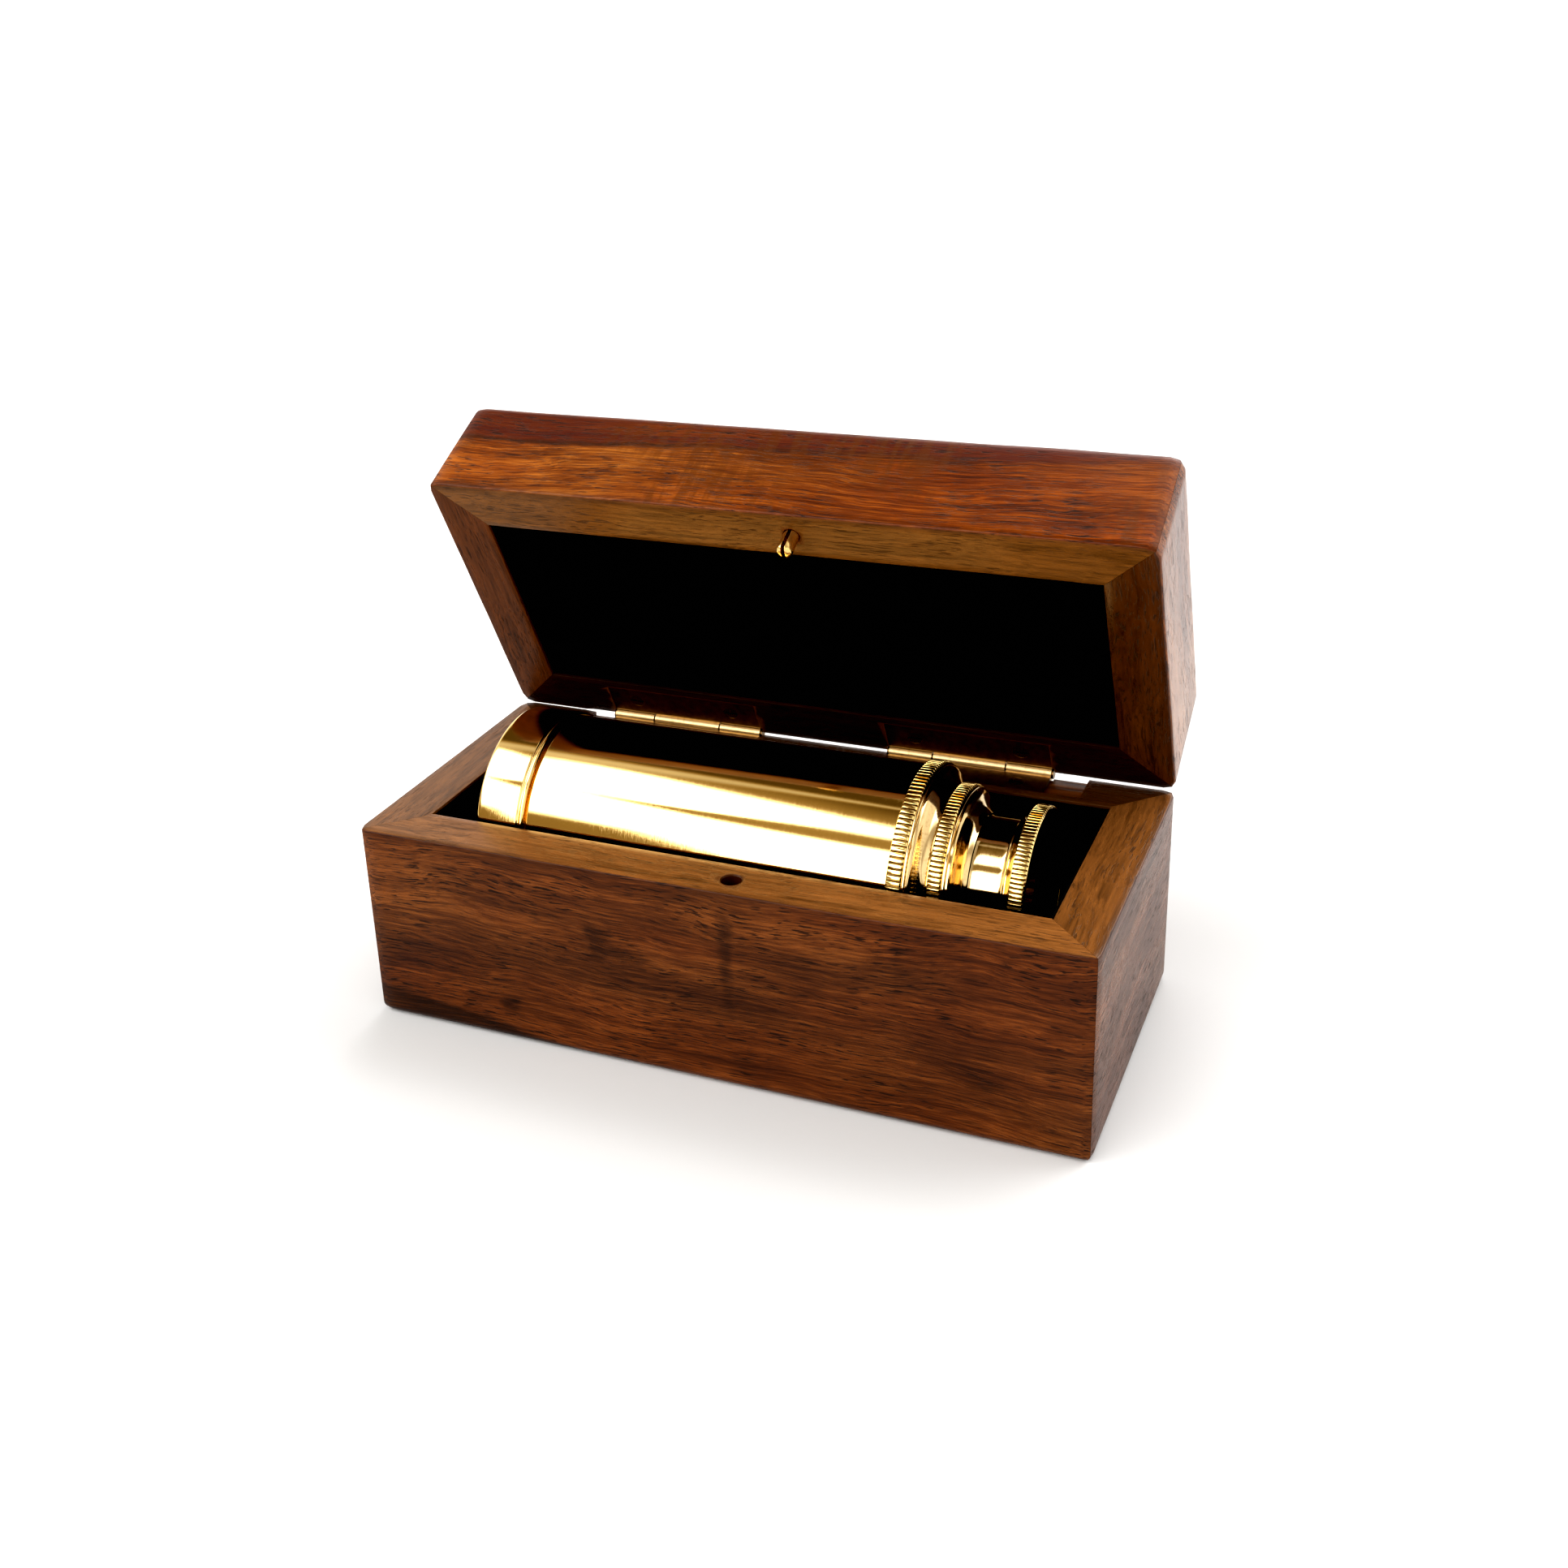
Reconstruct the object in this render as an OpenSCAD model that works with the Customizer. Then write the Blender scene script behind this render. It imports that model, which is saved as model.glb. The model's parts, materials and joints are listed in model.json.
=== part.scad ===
// Kaleidoscope with its hinged wooden case.
// Frame: origin at the middle of the case's underside, +Z up, +X along the
// case and along the tube towards the eyepiece, +Y towards the hinges.
// The lid stands open at its resting angle; the tube lies in the case.

/* [Case] */
// Outside length of the case
case_len = 164; // [162:1:168]
// Outside depth of the case
case_depth = 74.7; // [74.6:0.1:76]
// Height of the base, underside to rim
base_h = 46.3; // [46:0.1:47]
// Height of the lid, rim to top
lid_h = 27.5; // [27.4:0.1:29]
// Thickness of the wall boards
wall_t = 11.7; // [11.5:0.1:11.7]
// Thickness of the bottom board
floor_t = 11.7; // [11.5:0.1:11.8]
// Thickness of the lid's top board
top_t = 10.5; // [10:0.1:10.6]
// Thickness of the velvet lining
velvet_t = 0.8; // [0.5:0.1:0.8]
// Radius on the outside upright edges of the case
upright_r = 2.9; // [2:0.1:3.5]
// Radius along the underside edges of the base
foot_r = 2.2; // [1.5:0.1:3]
// Radius along the top edges of the lid
crown_r = 3.4; // [2:0.1:4]

/* [Lid hinges] */
// Angle that the lid stands open at rest
lid_open = 63; // [55:1:75]
// Gap between the two rims when the lid is closed
rim_gap = 0.3; // [0.2:0.1:0.5]
// How far the hinge pins lie behind the back face
pin_back = 0.4; // [0.4:0.1:1.2]
// Length of each hinge
hinge_len = 38.6; // [34:0.2:40]
// Middle of the left hinge along the case
hinge_left_x = -36.3; // [-40:0.1:-30]
// Middle of the right hinge along the case
hinge_right_x = 35; // [30:0.1:40]
// Width of a leaf from the pin to its front edge
leaf_w = 10; // [8:0.5:11]
// Thickness of a leaf
leaf_t = 0.9; // [0.7:0.1:1]
// Outside radius of the knuckles
knuckle_r = 1.5; // [1.4:0.1:1.6]
// Radius of the hinge pin
hinge_pin_r = 0.75; // [0.7:0.05:0.8]

/* [Catch] */
// Position of the catch pin along the case
catch_x = 5; // [0:0.5:10]
// Radius of the split catch pin
catch_r = 1.8; // [1.5:0.1:1.9]
// Length of the catch pin below the lid rim
catch_len = 5.5; // [4:0.5:6]
// Radius of the catch hole in the base
catch_hole_r = 2.15; // [2.15:0.05:2.4]

/* [Tube] */
// Height of the tube's axis
tube_z = 37.5; // [37.5:0.1:37.8]
// Outside radius of the barrel
barrel_r = 23.2; // [23:0.1:23.4]
// Wall thickness of the barrel
barrel_wall = 1.0; // [0.9:0.1:1.1]
// Outside radius of the object cell
cell_r = 23.9; // [23.6:0.1:24]
// Outside radius of the large knurled ring
ring1_r = 24.3; // [24:0.1:24.3]
// Outside radius of the middle knurled ring
ring2_r = 20.4; // [20:0.1:21]
// Outside radius of the eyecup's knurled ring
ring3_r = 18.1; // [17.5:0.1:18.5]
// Outside radius of the neck
neck_r = 14.2; // [14:0.1:14.6]

/* [Optics] */
// Width of each mirror strip
mirror_w = 33; // [31:0.5:33]
// Thickness of each mirror strip
mirror_t = 2; // [1.5:0.1:2]
// Radius of the eye hole
eye_r = 5.5; // [4:0.5:6]
// Number of coloured glass pieces
chips = 16; // [10:1:16]

/* [Hidden] */
$fn = 96;

hx = case_len / 2;
hy = case_depth / 2;
ix = hx - wall_t;            // inside half length between the boards
iy = hy - wall_t;            // inside half depth between the boards
pin_y = hy + pin_back;       // hinge pin axis
pin_z = base_h + rim_gap / 2;
rim_z = base_h + rim_gap;    // lid rim when closed
knuckle_gap = 0.35;
mid_k = 17.4;                // length of the middle knuckle
relief_r = knuckle_r + 0.2;  // wood cut away around the knuckles
lid_in = lid_h - top_t;      // depth inside the lid, rim to top board

// axial stations of the tube, measured along +X
x_cell0 = -61;      // object end face
x_cell1 = -49.3;    // inner end of the rotating cell
x_bar0 = -48.7;     // barrel end by the cell
x_ring1 = 34.9;
x_ring1e = 38.3;
x_ring2 = 42.4;
x_ring2e = 45.5;
x_neck = 49.4;
x_ring3 = 58.7;
x_end = 62;
barrel_ir = barrel_r - barrel_wall;
spigot_r = 21.6;                 // bearing ring, where the cell turns
cell_bore = spigot_r + 0.05;

// ---------- helpers ----------
// rectangle w by h, centred, with round corners of radius r
module rrect(w, h, r) {
  square([w - 2 * r, h], center = true);
  square([w, h - 2 * r], center = true);
  for (sx = [-1, 1], sy = [-1, 1])
    translate([sx * (w / 2 - r), sy * (h / 2 - r)]) circle(r);
}
// block standing on z = 0 with round uprights and round lower edges
module soft_block(h, r_up, r_low) {
  intersection() {
    linear_extrude(h) rrect(case_len, case_depth, r_up);
    translate([-hx - 1, 0, 0]) rotate([90, 0, 90]) linear_extrude(case_len + 2)
      translate([0, h]) rrect(case_depth, 2 * h, r_low);
    translate([0, hy + 1, 0]) rotate([90, 0, 0]) linear_extrude(case_depth + 2)
      translate([0, h]) rrect(case_len, 2 * h, r_low);
  }
}
// mitred board outline of one side: 0 front, 1 right, 2 back, 3 left
module mitre(side, h) {
  o = 2;
  linear_extrude(h)
    if (side == 0) polygon([[-hx - o, -hy - o], [hx + o, -hy - o], [ix, -iy], [-ix, -iy]]);
    else if (side == 1) polygon([[hx + o, -hy - o], [hx + o, hy + o], [ix, iy], [ix, -iy]]);
    else if (side == 2) polygon([[hx + o, hy + o], [-hx - o, hy + o], [-ix, iy], [ix, iy]]);
    else polygon([[-hx - o, hy + o], [-hx - o, -hy - o], [-ix, -iy], [-ix, iy]]);
}
// moves the closed lid to its resting angle
module at_rest() {
  translate([0, pin_y, pin_z]) rotate([-lid_open, 0, 0])
    translate([0, -pin_y, -pin_z]) children();
}
// turns a profile of [radius, station] points about the tube's axis
module turned(pts) {
  translate([0, 0, tube_z]) rotate([0, 90, 0]) rotate_extrude() polygon(pts);
}
// flat ring or disc between two stations
module ring_x(x0, x1, ro, ri) {
  translate([x0, 0, tube_z]) rotate([0, 90, 0]) difference() {
    cylinder(h = x1 - x0, r = ro);
    if (ri > 0) translate([0, 0, -1]) cylinder(h = x1 - x0 + 2, r = ri);
  }
}
// quarter-round cove from [r0, x0] down to [r1, x1]
function cove(r0, x0, r1, x1, n = 10) =
  [for (i = [0:n]) let (a = 90 * i / n)
    [r1 + (r0 - r1) * (1 - sin(a)), x0 + (x1 - x0) * (1 - cos(a))]];
module along_x(x0, x1, r, y, z) {
  translate([x0, y, z]) rotate([0, 90, 0]) cylinder(h = x1 - x0, r = r, $fn = 48);
}

// ---------- case boards ----------
module hinge_seat_base(xc) {
  translate([xc - hinge_len / 2, pin_y - leaf_w, base_h - leaf_t])
    cube([hinge_len, leaf_w + 5, leaf_t + 1]);
  along_x(xc - hinge_len / 2 - 0.5, xc + hinge_len / 2 + 0.5, relief_r, pin_y, pin_z);
  for (s = [-1, 1]) translate([xc + s * 12.5, pin_y - 6, base_h - 7.5]) cylinder(h = 8, r = 1, $fn = 32);
}
module hinge_seat_lid(xc) {
  translate([xc - hinge_len / 2, pin_y - leaf_w, rim_z - 1])
    cube([hinge_len, leaf_w + 5, leaf_t + 1]);
  along_x(xc - hinge_len / 2 - 0.5, xc + hinge_len / 2 + 0.5, relief_r, pin_y, pin_z);
  for (s = [-1, 1]) translate([xc + s * 12.5, pin_y - 6, rim_z - 0.5]) cylinder(h = 8, r = 1, $fn = 32);
}
module base_board(side) {
  intersection() { soft_block(base_h, upright_r, foot_r); mitre(side, base_h); }
}
module base_front_wall() {
  color("#7a3f1f") difference() {
    base_board(0);
    translate([catch_x, -hy + wall_t / 2, base_h - 7.5]) cylinder(h = 9, r = catch_hole_r, $fn = 48);
  }
}
module base_right_wall() { color("#7a3f1f") base_board(1); }
module base_left_wall() { color("#7a3f1f") base_board(3); }
module base_back_wall() {
  color("#7a3f1f") difference() {
    base_board(2);
    hinge_seat_base(hinge_left_x);
    hinge_seat_base(hinge_right_x);
  }
}
module base_bottom_board() {
  color("#6b3519") translate([-ix, -iy, 0]) cube([2 * ix, 2 * iy, floor_t]);
}
module base_velvet_lining() {
  color("#0b0b0c") difference() {
    translate([-ix, -iy, floor_t]) cube([2 * ix, 2 * iy, base_h - floor_t - 0.6]);
    translate([-ix + velvet_t, -iy + velvet_t, floor_t + velvet_t])
      cube([2 * (ix - velvet_t), 2 * (iy - velvet_t), base_h]);
  }
}

// ---------- lid boards (drawn closed, then opened) ----------
module lid_block() {
  translate([0, 0, rim_z + lid_h]) mirror([0, 0, 1]) soft_block(lid_h, upright_r, crown_r);
}
module lid_board(side) {
  intersection() { lid_block(); translate([0, 0, rim_z]) mitre(side, lid_h); }
}
module lid_front_rail() {
  color("#94502a") at_rest() difference() {
    lid_board(0);
    translate([catch_x, -hy + wall_t / 2, rim_z - 1]) cylinder(h = 9, r = catch_r, $fn = 48);
  }
}
module lid_right_rail() { color("#94502a") at_rest() lid_board(1); }
module lid_left_rail() { color("#94502a") at_rest() lid_board(3); }
module lid_back_rail() {
  color("#94502a") at_rest() difference() {
    lid_board(2);
    hinge_seat_lid(hinge_left_x);
    hinge_seat_lid(hinge_right_x);
  }
}
module lid_top_board() {
  color("#8a4724") at_rest()
    translate([-ix, -iy, rim_z + lid_in]) cube([2 * ix, 2 * iy, top_t]);
}
module lid_velvet_lining() {
  color("#0b0b0c") at_rest() difference() {
    translate([-ix, -iy, rim_z + 0.6]) cube([2 * ix, 2 * iy, lid_in - 0.6]);
    translate([-ix + velvet_t, -iy + velvet_t, rim_z - 1])
      cube([2 * (ix - velvet_t), 2 * (iy - velvet_t), lid_in + 1 - velvet_t]);
  }
}

// ---------- hinges ----------
// spans of the knuckles of one hinge: [start, end] from its middle
outer_a = [-hinge_len / 2, -mid_k / 2 - knuckle_gap / 2];
inner_k = [-mid_k / 2 + knuckle_gap / 2, mid_k / 2 - knuckle_gap / 2];
outer_b = [mid_k / 2 + knuckle_gap / 2, hinge_len / 2];
module screw_holes(xc, z0, z1, z_head, dir) {
  for (s = [-1, 1]) translate([xc + s * 12.5, pin_y - 6, 0]) {
    translate([0, 0, z0]) cylinder(h = z1 - z0, r = 1.05, $fn = 32);
    translate([0, 0, z_head]) mirror([0, 0, dir]) cylinder(h = 1, r1 = 1.85, r2 = 0.85, $fn = 32);
  }
}
// base leaf: plate on the rim with the two outer knuckles
module base_leaf(xc) {
  difference() {
    union() {
      translate([xc - hinge_len / 2, pin_y - leaf_w, base_h - leaf_t])
        cube([hinge_len, leaf_w, leaf_t]);
      for (k = [outer_a, outer_b]) along_x(xc + k[0], xc + k[1], knuckle_r, pin_y, pin_z);
    }
    // room for the lid's knuckle and a running bore for the pin
    along_x(xc + inner_k[0] - knuckle_gap, xc + inner_k[1] + knuckle_gap, relief_r, pin_y, pin_z);
    along_x(xc - hinge_len, xc + hinge_len, hinge_pin_r + 0.05, pin_y, pin_z);
    screw_holes(xc, base_h - 2, base_h + 1, base_h, 1);
  }
}
// lid leaf: plate on the rim with the middle knuckle
module lid_leaf(xc) {
  difference() {
    union() {
      translate([xc - hinge_len / 2, pin_y - leaf_w, rim_z])
        cube([hinge_len, leaf_w, leaf_t]);
      along_x(xc + inner_k[0], xc + inner_k[1], knuckle_r, pin_y, pin_z);
    }
    along_x(xc - hinge_len, xc - mid_k / 2 + knuckle_gap / 2, relief_r, pin_y, pin_z);
    along_x(xc + mid_k / 2 - knuckle_gap / 2, xc + hinge_len, relief_r, pin_y, pin_z);
    along_x(xc - hinge_len, xc + hinge_len, hinge_pin_r + 0.05, pin_y, pin_z);
    screw_holes(xc, rim_z - 1, rim_z + 2, rim_z, 0);
  }
}
module hinge_pin(xc) {
  along_x(xc - hinge_len / 2 - 0.4, xc + hinge_len / 2 + 0.4, hinge_pin_r, pin_y, pin_z);
  for (x0 = [xc - hinge_len / 2 - 0.45, xc + hinge_len / 2 + 0.02])
    along_x(x0, x0 + 0.43, 1.15, pin_y, pin_z);
}
// countersunk screw, head flush at z = 0, shank downwards
module screw() {
  difference() {
    union() {
      translate([0, 0, -0.92]) cylinder(h = 0.87, r1 = 0.93, r2 = 1.75, $fn = 32);
      translate([0, 0, -7]) cylinder(h = 6.2, r = 0.97, $fn = 32);
    }
    translate([-2, -0.2, -0.4]) cube([4, 0.4, 1]);
  }
}
module left_hinge_base_leaf() { color("#c79a3e") base_leaf(hinge_left_x); }
module right_hinge_base_leaf() { color("#c79a3e") base_leaf(hinge_right_x); }
module left_hinge_lid_leaf() { color("#c79a3e") at_rest() lid_leaf(hinge_left_x); }
module right_hinge_lid_leaf() { color("#c79a3e") at_rest() lid_leaf(hinge_right_x); }
module left_hinge_pin() { color("#d2aa52") hinge_pin(hinge_left_x); }
module right_hinge_pin() { color("#d2aa52") hinge_pin(hinge_right_x); }
module hinge_screws_base() {
  color("#b98d38") for (xc = [hinge_left_x, hinge_right_x], s = [-1, 1])
    translate([xc + s * 12.5, pin_y - 6, base_h]) screw();
}
module hinge_screws_lid() {
  color("#b98d38") at_rest() for (xc = [hinge_left_x, hinge_right_x], s = [-1, 1])
    translate([xc + s * 12.5, pin_y - 6, rim_z]) mirror([0, 0, 1]) screw();
}
module catch_pin() {
  color("#c79a3e") at_rest() translate([catch_x, -hy + wall_t / 2, rim_z]) difference() {
    union() {
      translate([0, 0, -catch_len + 0.7]) cylinder(h = catch_len + 7, r = catch_r, $fn = 48);
      translate([0, 0, -catch_len]) cylinder(h = 0.7, r1 = catch_r - 0.6, r2 = catch_r, $fn = 48);
    }
    translate([-0.4, -3, -catch_len - 1]) cube([0.8, 6, catch_len + 4]);
  }
}

// ---------- tube ----------
module barrel_tube() {
  color("#d9b45a") ring_x(x_bar0, x_ring1, barrel_r, barrel_ir);
}
module end_collar() {
  color("#d9b45a") turned(concat(
    [[barrel_ir - 1.2, x_ring1 - 10], [barrel_ir, x_ring1 - 10], [barrel_ir, x_ring1],
     [ring1_r, x_ring1], [ring1_r, x_ring1e], [23.7, x_ring1e], [23.7, x_ring1e + 0.6]],
    cove(23.1, x_ring1e + 0.8, 19.3, x_ring2 - 0.2),
    [[19.3, x_ring2], [17, x_ring2], [17, x_ring1 + 1], [barrel_ir - 1.2, x_ring1]]));
}
module eyepiece_adaptor() {
  color("#d9b45a") turned(concat(
    [[15.4, x_ring1 + 2], [17, x_ring1 + 2], [17, x_ring2], [ring2_r, x_ring2],
     [ring2_r, x_ring2e], [19.7, x_ring2e], [19.7, x_ring2e + 0.5]],
    cove(19, x_ring2e + 0.7, neck_r + 0.3, x_neck - 0.2),
    [[neck_r + 0.3, x_neck], [12.6, x_neck], [12.6, x_ring1 + 6], [15.4, x_ring1 + 6]]));
}
module eyecup() {
  color("#d9b45a") turned([
    [10.5, x_neck - 5], [12.6, x_neck - 5], [12.6, x_neck], [neck_r, x_neck],
    [neck_r, 56.1], [14.8, 56.3], [14.9, 56.6], [14.8, 56.9], [neck_r + 0.1, 57.1],
    [14.8, 57.5], [15.9, 58.1], [17.2, x_ring3 - 0.1], [17.3, x_ring3], [ring3_r, x_ring3],
    [ring3_r, x_end], [16.6, x_end], [15.4, x_end - 0.5], [9, x_end - 2.4],
    [eye_r, x_end - 3], [eye_r, 55], [10.5, 55]]);
}
module eye_lens() { color("#cfe3ee") ring_x(53, 55, 10.45, 0); }
module eye_lens_ring() { color("#2a2622") ring_x(51.4, 53, 10.45, 8.2); }

// three mirror strips, silvered faces inwards, meeting at their inner edges
module mirror_strip(a) {
  translate([0, 0, tube_z]) rotate([a, 0, 0])
    translate([-51.4, -mirror_w / 2, -mirror_w / (2 * sqrt(3)) - mirror_t])
      cube([81.4, mirror_w, mirror_t]);
}
module mirror_base() { color("#c9d4da") mirror_strip(0); }
module mirror_front() { color("#c9d4da") mirror_strip(-120); }
module mirror_rear() { color("#c9d4da") mirror_strip(120); }
module mirror_eye_mask() { color("#222222") ring_x(30.05, 31.6, 20.95, 4.5); }
module mirror_object_mask() {
  color("#222222") difference() {
    ring_x(-52.3, -51.45, 20.45, 0);
    translate([-53, 0, tube_z]) rotate([0, 90, 0]) rotate([0, 0, 0])
      linear_extrude(2) circle(r = mirror_w / sqrt(3) - 0.6, $fn = 3);
  }
}
module mirror_packing_rings() {
  color("#8c7a5a") for (x0 = [-31, 8]) ring_x(x0, x0 + 5, barrel_ir - 0.05, 20.3);
}

// ---------- rotating object cell ----------
module cell_bearing_ring() {
  color("#b98d38") turned([
    [20.5, -52.5], [spigot_r, -52.5], [spigot_r, -51.35], [20.9, -51.35], [20.9, -50.45],
    [spigot_r, -50.45], [spigot_r, x_bar0 - 0.02], [barrel_ir, x_bar0 - 0.02],
    [barrel_ir, -41], [20.5, -41]]);
}
module cell_snap_ring() {
  color("#8d8d8d") ring_x(-51.3, -50.5, 22.1, 20.95);
}
module cell_housing() {
  color("#d9b45a") turned([
    [18.6, x_cell0 + 0.3], [18.9, x_cell0], [cell_r - 0.9, x_cell0], [cell_r - 0.25, x_cell0 + 0.25],
    [cell_r, x_cell0 + 0.9], [cell_r, x_cell1 - 1.5], [cell_r - 0.35, x_cell1 - 1.3],
    [cell_r - 0.35, x_cell1 - 1.0], [cell_r - 0.05, x_cell1 - 0.7], [cell_r - 0.05, x_cell1 - 0.25],
    [cell_r - 0.4, x_cell1], [cell_bore, x_cell1], [cell_bore, -50.3], [22.2, -50.3],
    [22.2, -51.5], [cell_bore, -51.5], [cell_bore, -59.9], [18.6, -59.9]]);
}
module cell_outer_window() { color("#e8eef0") ring_x(-59.88, -58.4, 21.6, 0); }
module cell_spacer_ring() { color("#b98d38") ring_x(-58.38, -54.62, 21.6, 20.4); }
module cell_inner_window() { color("#cfe3ee") ring_x(-54.6, -53.12, 21.6, 0); }
module cell_retaining_ring() { color("#b98d38") ring_x(-53.1, -52.85, 21.6, 19.6); }
// chips lie in two rows in the bottom of the cell
module glass_chips() {
  tints = ["#c8232c", "#1f5fbf", "#e0a019", "#1e8a4c", "#7a2fa0", "#1aa3b8"];
  for (i = [0:chips - 1]) {
    row = floor(i / 8);
    a = -90 + (i % 8 - 3.5) * 15 + row * 5;
    r = 17.6 - row * 4.6;
    color(tints[i % 6])
      translate([-56.5 + (i % 3 - 1) * 0.45, r * cos(a), tube_z + r * sin(a)])
        rotate([a * (i % 5) + 20 * i, 0, 0]) rotate([0, 90, 0])
          translate([0, 0, -1.1]) linear_extrude(2.2)
            circle(r = 1.55 + 0.2 * (i % 3), $fn = 3 + (i % 4));
  }
}

base_front_wall();
base_back_wall();
base_left_wall();
base_right_wall();
base_bottom_board();
base_velvet_lining();
left_hinge_base_leaf();
right_hinge_base_leaf();
left_hinge_pin();
right_hinge_pin();
hinge_screws_base();
lid_front_rail();
lid_back_rail();
lid_left_rail();
lid_right_rail();
lid_top_board();
lid_velvet_lining();
left_hinge_lid_leaf();
right_hinge_lid_leaf();
hinge_screws_lid();
catch_pin();
barrel_tube();
end_collar();
eyepiece_adaptor();
eyecup();
eye_lens();
eye_lens_ring();
mirror_base();
mirror_front();
mirror_rear();
mirror_eye_mask();
mirror_object_mask();
mirror_packing_rings();
cell_bearing_ring();
cell_snap_ring();
cell_housing();
cell_outer_window();
cell_spacer_ring();
cell_inner_window();
cell_retaining_ring();
glass_chips();
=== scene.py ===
import bpy, bmesh, math, json
import numpy as np
from mathutils import Vector, Matrix, noise


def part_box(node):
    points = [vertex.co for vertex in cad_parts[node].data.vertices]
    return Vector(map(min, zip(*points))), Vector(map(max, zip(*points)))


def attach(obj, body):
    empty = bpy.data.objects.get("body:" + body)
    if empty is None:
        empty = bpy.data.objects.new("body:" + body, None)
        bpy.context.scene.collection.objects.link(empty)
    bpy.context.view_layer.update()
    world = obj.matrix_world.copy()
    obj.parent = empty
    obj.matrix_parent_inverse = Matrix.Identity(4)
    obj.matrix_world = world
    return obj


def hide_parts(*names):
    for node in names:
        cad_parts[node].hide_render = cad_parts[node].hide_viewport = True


noise.seed_set(7)                                # the noise field is the same on every run

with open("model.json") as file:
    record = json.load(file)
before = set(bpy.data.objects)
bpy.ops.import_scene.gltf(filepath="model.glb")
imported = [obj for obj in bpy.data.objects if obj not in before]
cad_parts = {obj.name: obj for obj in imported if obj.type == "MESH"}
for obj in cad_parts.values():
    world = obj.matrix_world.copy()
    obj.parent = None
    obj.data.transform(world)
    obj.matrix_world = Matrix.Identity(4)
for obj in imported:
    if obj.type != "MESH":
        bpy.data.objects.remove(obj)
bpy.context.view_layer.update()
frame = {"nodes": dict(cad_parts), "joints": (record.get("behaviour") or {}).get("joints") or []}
MM = 0.001
NODES = frame["nodes"]

# ------------------------------------------------------------------ sizes, read from the frame (mm)
def bx(n):
    lo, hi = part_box(n)
    return [v / MM for v in lo], [v / MM for v in hi]

_fl, _fh = bx("base_front_wall")
HX = -bx("base_left_wall")[0][0]
HY = -_fl[1]
WALL = _fh[1] - _fl[1]
BASE_H = _fh[2]
FLOOR_T = bx("base_bottom_board")[1][2]
_lid = [j for j in frame["joints"] if j["name"] == "lid_hinge"][0]
PIN_Y, PIN_Z = _lid["pos_m"][1] / MM, _lid["pos_m"][2] / MM
OPEN = _lid["range_deg"][1]                      # the lid stands this far open at rest
RIM_Z = PIN_Z + (PIN_Z - BASE_H)                 # the lid's rim when closed
TUBE_Z = (bx("barrel_tube")[0][2] + bx("barrel_tube")[1][2]) / 2
LID_REST = (Matrix.Translation((0, PIN_Y, PIN_Z)) @ Matrix.Rotation(math.radians(-OPEN), 4, "X")
            @ Matrix.Translation((0, -PIN_Y, -PIN_Z)))
LID_H = 27.5
TOP_T = 10.5
IX, IY = HX - WALL, HY - WALL
CATCH_X = (bx("catch_pin")[0][0] + bx("catch_pin")[1][0]) / 2
HINGES = {s: (bx(s + "_hinge_base_leaf")[0][0], bx(s + "_hinge_base_leaf")[1][0]) for s in ("left", "right")}
FOOT_R, CROWN_R = 2.2, 2.6
BASE_CORNERS = (2.2, 1.1, 2.2, 2.6)        # upright edges: front left, front right, back right, back left
LID_CORNERS = (1.8, 2.7, 2.6, 2.4)

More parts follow.
